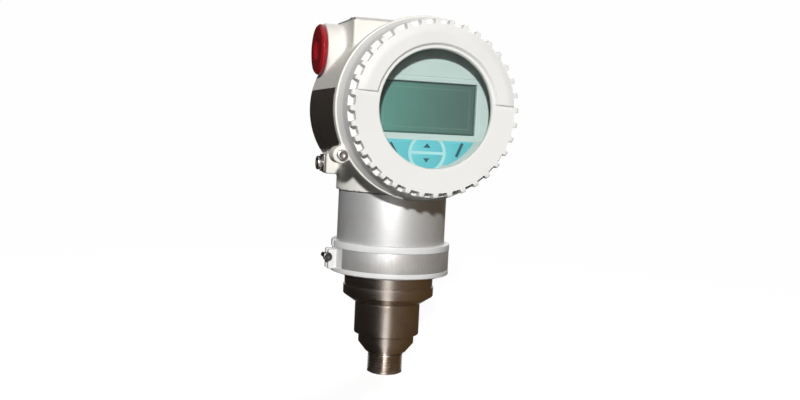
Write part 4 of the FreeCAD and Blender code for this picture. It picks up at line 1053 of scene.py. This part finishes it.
class DISPLAY_OT_pieces(bpy.types.Operator):
    """Build the display's frame, its glass and its touch keys"""
    bl_idname = "transmitter.display"
    bl_label = "Display"

    def execute(self, context):
        face, back = span("display_frame", 1)
        place = towards((0, face, BARREL_Z), "-y")
        self.frame_piece(place, back - face, span("lcd_glass", 1)[0] - face)
        self.screen_piece()
        self.keys(place)
        return {"FINISHED"}

    def frame_piece(self, place, thick, deep):
        """The round frame, with a groove near its rim and another round the screen's opening."""
        (half_w, half_h), centre_z = SCREEN_HALF, SCREEN_Z - BARREL_Z
        corner = math.degrees(math.atan2(half_h, half_w))
        angles = np.unique(np.round(np.concatenate(
            [np.arange(0, 360, 3.0), [corner, 180 - corner, 180 + corner, 360 - corner]]), 4))
        turn = np.radians(angles)

        def opening(grow):
            reach = np.minimum((half_w + grow) / np.maximum(np.abs(np.cos(turn)), 1e-6),
                               (half_h + grow) / np.maximum(np.abs(np.sin(turn)), 1e-6))
            return np.stack([reach * np.cos(turn), reach * np.sin(turn) + centre_z], -1)

        def circle(radius):
            return np.stack([radius * np.cos(turn), radius * np.sin(turn)], -1)

        rim = 36.5
        rows = [(circle(rim - 2.0), -thick), (circle(rim), -thick), (circle(rim), -0.5),
                (circle(rim - 0.15), -0.15), (circle(rim - 0.5), 0.0), (circle(34.8), 0.0),
                (circle(34.6), -0.25), (circle(34.2), -0.25), (circle(34.0), 0.0), (opening(2.9), 0.0),
                (opening(2.8), -0.3), (opening(2.2), -0.3), (opening(2.1), 0.0), (opening(0.9), 0.0),
                (opening(0.5), 0.0), (opening(0.12), -0.15), (opening(0.0), -0.5),
                (opening(0.0), 0.02 - deep), (opening(1.5), 0.02 - deep), (circle(rim - 2.0), -deep)]
        points = np.concatenate([np.concatenate([flat, np.full((len(flat), 1), height)], 1)
                                 for flat, height in rows])
        shape = points, grid_faces(len(rows), len(angles), close_rows=True)
        add_piece("display_bezel", placed(shape, place), "housing", "bezel", ("display_frame",), 32)

    def screen_piece(self):
        """The liquid crystal glass behind the frame's opening."""
        front, back = span("lcd_glass", 1)
        half_w, half_h = (half + 2.4 for half in SCREEN_HALF)
        shape = rounded_box((-half_w, front, SCREEN_Z - half_h), (half_w, back, SCREEN_Z + half_h), 0.25)
        add_piece("lcd_pane", shape, "housing", "lcd", ("lcd_glass",))

    def keys(self, place):
        """The touch keys: a pale sheet, four fields round a dial, the lines between them and their marks."""
        def add(name, slabs, look, replaces=()):
            add_piece(name, placed(joined(slabs), place), "housing", look, replaces)

        top = float(high("key_film")[2]) - BARREL_Z
        radius = 34.4
        angle = math.degrees(math.asin(-top / radius))
        film = arc((0, 0), radius, 180 + angle, 360 - angle, 60)
        add("key_sheet", [slab(film, 0.0, 0.12, 0.05)], "bezel", ("key_film",))
        centre, dial = (0.5, -23.1), 8.9
        clear = dial + 1.7
        fields = self.dial_fields(centre, dial, top - 1.2) + self.side_fields(centre, clear, top - 1.2)
        add("key_fields", [slab(outline, 0.1, 0.2, 0.06) for outline in fields], "keys")
        lines = self.dividers(centre, dial, clear)
        add("key_outlines", [slab(outline, 0.1, 0.17) for outline in lines], "key_line")
        add("key_marks", [slab(outline, 0.15, 0.23) for outline in self.marks(centre[0])], "key_mark")

    def dial_fields(self, centre, dial, top):
        """The upper and the lower key of the dial, cut level at the top and apart at the middle."""
        def lean(height):
            return math.degrees(math.asin((height - centre[1]) / dial))

        start, stop, under = lean(centre[1] + 0.8), lean(top), lean(centre[1] - 0.8)
        upper = arc(centre, dial, start, stop, 10) + arc(centre, dial, 180 - stop, 180 - start, 10)
        return [upper, arc(centre, dial, 180 - under, 360 + under, 24)]

    def side_fields(self, centre, clear, top):
        """The left and the right key, between the dial's ring and the window's edge."""
        rim, least = 31.6, 3.2
        wide = 90 - math.degrees(math.asin(-top / rim))
        fields = []
        for side in (-1, 1):
            outline = arc((0, 0), rim, 270 + side * wide, 270 + side * 22.0, 16)
            for height in np.linspace(outline[-1][1], top, 14):
                reach = math.sqrt(max(clear * clear - (height - centre[1]) ** 2, 0))
                outline.append((centre[0] + side * max(reach, least), height))
            fields.append(outline if side < 0 else outline[::-1])
        return fields

    def dividers(self, centre, dial, clear):
        """The pale ring round the dial, in two arcs, and the bar across it."""
        rings = [arc(centre, clear - 0.05, start, stop, 22) + arc(centre, dial + 0.05, stop, start, 22)
                 for start, stop in ((-68, 38), (142, 248))]
        half = 0.75
        corners = ((-dial, -half), (dial, -half), (dial, half), (-dial, half))
        return rings + [[(centre[0] + x, centre[1] + y) for x, y in corners]]

    def marks(self, middle_x):
        """A triangle on each key of the dial, and a stroke on each side key."""
        marks = [[(middle_x - 2.3, -20.4), (middle_x + 1.9, -20.4), (middle_x - 0.2, -18.0)],
                 [(middle_x + 1.5, -26.0), (middle_x - 2.1, -26.0), (middle_x - 0.3, -28.3)]]
        half_width = 0.85
        for head, foot in (((-20.4, -18.3), (-15.8, -25.8)), ((20.4, -17.2), (17.2, -24.7))):
            head, foot = np.array(head), np.array(foot)
            along = (head - foot) * half_width / np.linalg.norm(head - foot)
            across = np.array([-along[1], along[0]])
            marks.append([foot + across, head + across, head - across, foot - across])
        return marks


# ---------------------------------------------------------------- small pieces

class SMALL_OT_pieces(bpy.types.Operator):
    """Build the plug and the screws of the housing"""
    bl_idname = "transmitter.small"
    bl_label = "Plug and screws"

    def execute(self, context):
        self.plug()
        for node in ("front_lock_screw", "rear_lock_screw"):
            self.lock_screw(node, node.startswith("front"))
        self.earth()
        self.plate_screws()
        return {"FINISHED"}

    def plug(self):
        """The transport plug: a head with a dish, on a hollow shank in the entry."""
        head, rim, dish, shank, bore, end = PLUG_HEAD, 14.7, 1.9, 9.0, 7.5, -8.0
        outline = soften([(0.01, dish, 0.0), (4.6, dish, 0.4), (6.6, head, 0.5), (13.5, head, 0.8),
                          (rim, head - 1.2, 0.5), (rim, 0.12, 0.3), (shank, 0.12, 0.0), (shank, end, 0.5),
                          (bore, end, 0.3), (bore, 0.0, 0.2), (0.01, 0.0, 0.0)], 0.3, 4)
        shape = placed(turned(divided(outline, 4.0)), towards((-BOSS_X, *CONDUIT), "-x"))
        add_piece("entry_plug", shape, "plug", "plug_red", ("conduit_plug",))

    def lock_screw(self, node, front):
        """A cover's lock screw in its lug."""
        x, z = middle(node)[[0, 2]]
        place = towards((x, FRONT_FACE if front else REAR_FACE, z), "-y" if front else "y")
        add_piece(node + "_cap", placed(cap_screw(2.75, 3.0, 1.5, 8.0), place), "housing",
                  "screw_steel", (node,))

    def earth(self):
        """The earth screw on its clamp."""
        y, z = middle("earth_screw")[[1, 2]]
        place = towards((float(low("earth_clamp")[0]), y, z), "-x")
        add_piece("earth_bolt", placed(cap_screw(4.0, 3.0, 2.0, 9.5), place), "housing",
                  "screw_steel", ("earth_screw",))
        add_piece("earth_washer", rounded_box(low("earth_clamp"), high("earth_clamp"), 0.4), "housing",
                  "screw_steel", ("earth_clamp",))

    def plate_screws(self):
        """The two screws of the name plate."""
        y, z = 6.0, float(high("name_plate")[2]) + 0.05
        screw = pan_screw(2.75, 1.8, 1.5, 3.5)
        shape = joined([placed(screw, towards((x, y, z), "z")) for x in (-26.5, 26.5)])
        add_piece("plate_screws", shape, "housing", "screw_steel", ("name_plate_screws",))


class CAD_OT_finish(bpy.types.Operator):
    """Give the solids that stay shown their materials"""
    bl_idname = "transmitter.solids"
    bl_label = "Remaining solids"

    def execute(self, context):
        looks = {entry["node"]: entry["material_slot"] for entry in frame["record"]["subparts"]}
        for name, solid in frame["nodes"].items():
            if solid.type != "MESH" or solid.hide_render:
                continue
            if not solid.material_slots:
                raise RuntimeError(name + " has no material slot")
            for slot in solid.material_slots:
                slot.link = "OBJECT"
                slot.material = MATERIALS[looks[name]]
        return {"FINISHED"}


# ---------------------------------------------------------------- stage

class STAGE_OT_build(bpy.types.Operator):
    """Set the floor, what the reflections show, the lamps and the camera"""
    bl_idname = "transmitter.stage"
    bl_label = "Stage"

    def execute(self, context):
        stage = context.scene.transmitter_stage
        ground, tent_gap = CAD_BOX[0][2], 0.0005
        back_turn, back_rise, back_spread = (math.radians(angle) for angle in (200, 28, 30))
        self.floor(ground, stage.background)
        self.reflector(ground + tent_gap, stage.key_turn)
        self.world(stage.surround, stage.background)
        self.sun("key", stage.key_turn, stage.key_rise, stage.key_spread, stage.key_power)
        self.sun("back", stage.key_turn + back_turn, back_rise, back_spread, stage.back_power)
        self.camera(stage)
        context.scene.view_settings.view_transform = "Standard"
        return {"FINISHED"}

    def surface(self, name, points, faces, material):
        """A surface of the stage, from points in metres."""
        mesh = bpy.data.meshes.new(name)
        mesh.from_pydata(points, [], faces)
        mesh.materials.append(material)
        surface = bpy.data.objects.new(name, mesh)
        bpy.context.scene.collection.objects.link(surface)
        return surface

    def shown_rays(self, nodes):
        """1 for the rays that see the background itself: camera, glossy and transmission rays."""
        path = nodes.add("ShaderNodeLightPath")
        seen = nodes.math("MAXIMUM", path.outputs["Is Camera Ray"], path.outputs["Is Glossy Ray"])
        return nodes.math("MAXIMUM", seen, path.outputs["Is Transmission Ray"])

    def floor(self, z, background):
        """A pale floor that takes the object's shadow and fades into the background."""
        size, shadow_room = 4.0, 0.13
        points = [(-size, -size, z), (size, -size, z), (size, size, z), (-size, size, z)]
        nodes = Nodes("studio_floor", (0.30, 0.30, 0.30), 0.9)
        nodes.color(nodes.ramp(nodes.noise(3, 2), [(0.3, (0.29, 0.29, 0.29)), (0.7, (0.31, 0.31, 0.31))]))
        nodes.shader.inputs["Specular IOR Level"].default_value = 0.0
        pale = nodes.add("ShaderNodeEmission", Strength=background - shadow_room)
        lit = nodes.add("ShaderNodeAddShader")
        nodes.link(nodes.shader.outputs[0], lit.inputs[0])
        nodes.link(pale.outputs[0], lit.inputs[1])
        plain = nodes.add("ShaderNodeEmission", Strength=background)
        radius = nodes.add("ShaderNodeVectorMath", operation="LENGTH")
        nodes.link(nodes.place, radius.inputs[0])
        far = nodes.add("ShaderNodeMixShader")
        nodes.link(nodes.grey(radius.outputs["Value"], 0.0, 1.0, 0.12, 0.6), far.inputs[0])
        nodes.link(lit.outputs[0], far.inputs[1])
        nodes.link(plain.outputs[0], far.inputs[2])
        mixer = nodes.add("ShaderNodeMixShader")
        nodes.link(self.shown_rays(nodes), mixer.inputs[0])
        matt = nodes.add("ShaderNodeBsdfDiffuse", Color=(0.10, 0.10, 0.10, 1.0))
        nodes.link(matt.outputs[0], mixer.inputs[1])
        nodes.link(far.outputs[0], mixer.inputs[2])
        nodes.link(mixer.outputs[0], nodes.output.inputs["Surface"])
        floor = self.surface("studio_floor", points, [(0, 1, 2, 3)], nodes.material)

    def reflector(self, z, turn):
        """A tent seen only in reflections: pale behind, dark on one side, warm on the other, with a strip."""
        profile = [(0.001, 0.0), (0.5, 0.0), (0.5, 0.35), (0.42, 0.55), (0.25, 0.68), (0.001, 0.72)]
        points, faces = turned(divided(profile, 0.1), 72)
        points[:, 2] += z
        nodes = Nodes("studio_tent", (0.5, 0.5, 0.5), 0.9)
        split = nodes.add("ShaderNodeSeparateXYZ")
        nodes.link(nodes.place, split.inputs[0])
        around = nodes.math("ARCTAN2", split.outputs["X"], nodes.math("MULTIPLY", split.outputs["Y"], -1.0))
        around = nodes.math("ADD", around, turn)
        around = nodes.math("WRAP", around, -math.pi)
        around.node.inputs[2].default_value = math.pi
        place = nodes.grey(around, 0.0, 1.0, -math.pi, math.pi)
        side = nodes.ramp(place, [
            (0.0, (0.9, 0.9, 0.9)), (0.035, (0.8, 0.8, 0.8)), (0.075, (0.02, 0.017, 0.014)),
            (0.40, (0.018, 0.014, 0.012)), (0.462, (0.06, 0.055, 0.05)), (0.49, (1.6, 1.6, 1.6)),
            (0.51, (1.6, 1.6, 1.6)), (0.538, (0.17, 0.13, 0.10)), (0.60, (0.16, 0.11, 0.07)),
            (0.76, (0.11, 0.07, 0.03)), (0.93, (0.07, 0.045, 0.02)), (0.965, (0.8, 0.8, 0.8)),
            (1.0, (0.9, 0.9, 0.9))])
        up = nodes.grey(split.outputs["Z"], 0.0, 1.0, 0.45, 0.62)
        light = nodes.add("ShaderNodeEmission")
        nodes.link(nodes.mix(up, side, (0.85, 0.85, 0.85)), light.inputs["Color"])
        nodes.link(light.outputs[0], nodes.output.inputs["Surface"])
        tent = self.surface("studio_tent", points.tolist(), faces, nodes.material)
        tent.visible_camera = tent.visible_diffuse = tent.visible_transmission = False
        tent.visible_shadow = tent.visible_volume_scatter = False

    def world(self, strength, background):
        """A soft grey room for diffuse light behind a plain pale background."""
        world = bpy.data.worlds.new("studio")
        world.use_nodes = True
        nodes = Tree(world.node_tree)
        ground = nodes.tree.nodes["Background"]
        ground.inputs["Color"].default_value = (1.0, 1.0, 1.0, 1.0)
        shown = self.shown_rays(nodes)
        nodes.link(nodes.grey(shown, strength, background, 0.0, 1.0), ground.inputs["Strength"])
        bpy.context.scene.world = world

    def sun(self, name, turn, rise, spread, power):
        """A lamp a long way off: turn is to the left of the display's axis, power is its irradiance."""
        data = bpy.data.lights.new(name, "SUN")
        data.angle = spread
        data.energy = power * math.pi
        lamp = bpy.data.objects.new(name, data)
        toward = Vector((-math.sin(turn) * math.cos(rise), -math.cos(turn) * math.cos(rise), math.sin(rise)))
        lamp.location = toward * 1.5
        lamp.rotation_euler = (-toward).to_track_quat("-Z", "Y").to_euler()
        bpy.context.scene.collection.objects.link(lamp)

    def camera(self, stage):
        """The camera, aimed at a point high on the sensor's neck."""
        lens, sensor, target = 41.91, 36.0, Vector((0.0043, -0.0015, 0.0902))
        data = bpy.data.cameras.new("camera")
        data.lens, data.sensor_width = lens, sensor
        data.clip_start, data.clip_end = 0.01, 50.0
        camera = bpy.data.objects.new("camera", data)
        turn = stage.camera_turn
        back = Vector((-math.sin(turn), -math.cos(turn), 0.0))
        at = back * stage.camera_distance + Vector((0.0, 0.0, stage.camera_height))
        look = (target - at).to_track_quat("-Z", "Y").to_matrix().to_4x4()
        camera.matrix_world = Matrix.Translation(at) @ look @ Matrix.Rotation(-stage.camera_roll, 4, "Z")
        bpy.context.scene.collection.objects.link(camera)
        bpy.context.scene.camera = camera


class TRANSMITTER_PT_panel(bpy.types.Panel):
    """Sizes, colours and steps of the pressure transmitter"""
    bl_label = "Pressure transmitter"
    bl_idname = "TRANSMITTER_PT_panel"
    bl_space_type = "VIEW_3D"
    bl_region_type = "UI"
    bl_category = "Transmitter"

    def draw(self, context):
        for settings in (context.scene.transmitter_look, context.scene.transmitter_stage):
            box = self.layout.box()
            for key in settings.bl_rna.properties.keys():
                if key not in ("rna_type", "name"):
                    box.prop(settings, key)
        for operator in STEPS:
            self.layout.operator(operator.bl_idname)


STEPS = (SENSOR_OT_pieces, TAG_OT_pieces, HOUSING_OT_pieces, COVER_OT_pieces, DISPLAY_OT_pieces,
         SMALL_OT_pieces, CAD_OT_finish, STAGE_OT_build)
CLASSES = (TransmitterLook, TransmitterStage) + STEPS + (TRANSMITTER_PT_panel,)


def register():
    """Make the settings, the operators and the panel known."""
    for cls in CLASSES:
        bpy.utils.register_class(cls)
    bpy.types.Scene.transmitter_look = bpy.props.PointerProperty(type=TransmitterLook)
    bpy.types.Scene.transmitter_stage = bpy.props.PointerProperty(type=TransmitterStage)


def unregister():
    """Take away what register() made known."""
    del bpy.types.Scene.transmitter_stage
    del bpy.types.Scene.transmitter_look
    for cls in reversed(CLASSES):
        bpy.utils.unregister_class(cls)


def main():
    """Build the materials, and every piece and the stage."""
    register()
    make_materials(bpy.context.scene.transmitter_look)
    bpy.ops.transmitter.sensor()
    bpy.ops.transmitter.tag()
    bpy.ops.transmitter.housing()
    bpy.ops.transmitter.covers()
    bpy.ops.transmitter.display()
    bpy.ops.transmitter.small()
    bpy.ops.transmitter.solids()
    bpy.ops.transmitter.stage()


if __name__ == "__main__":
    main()
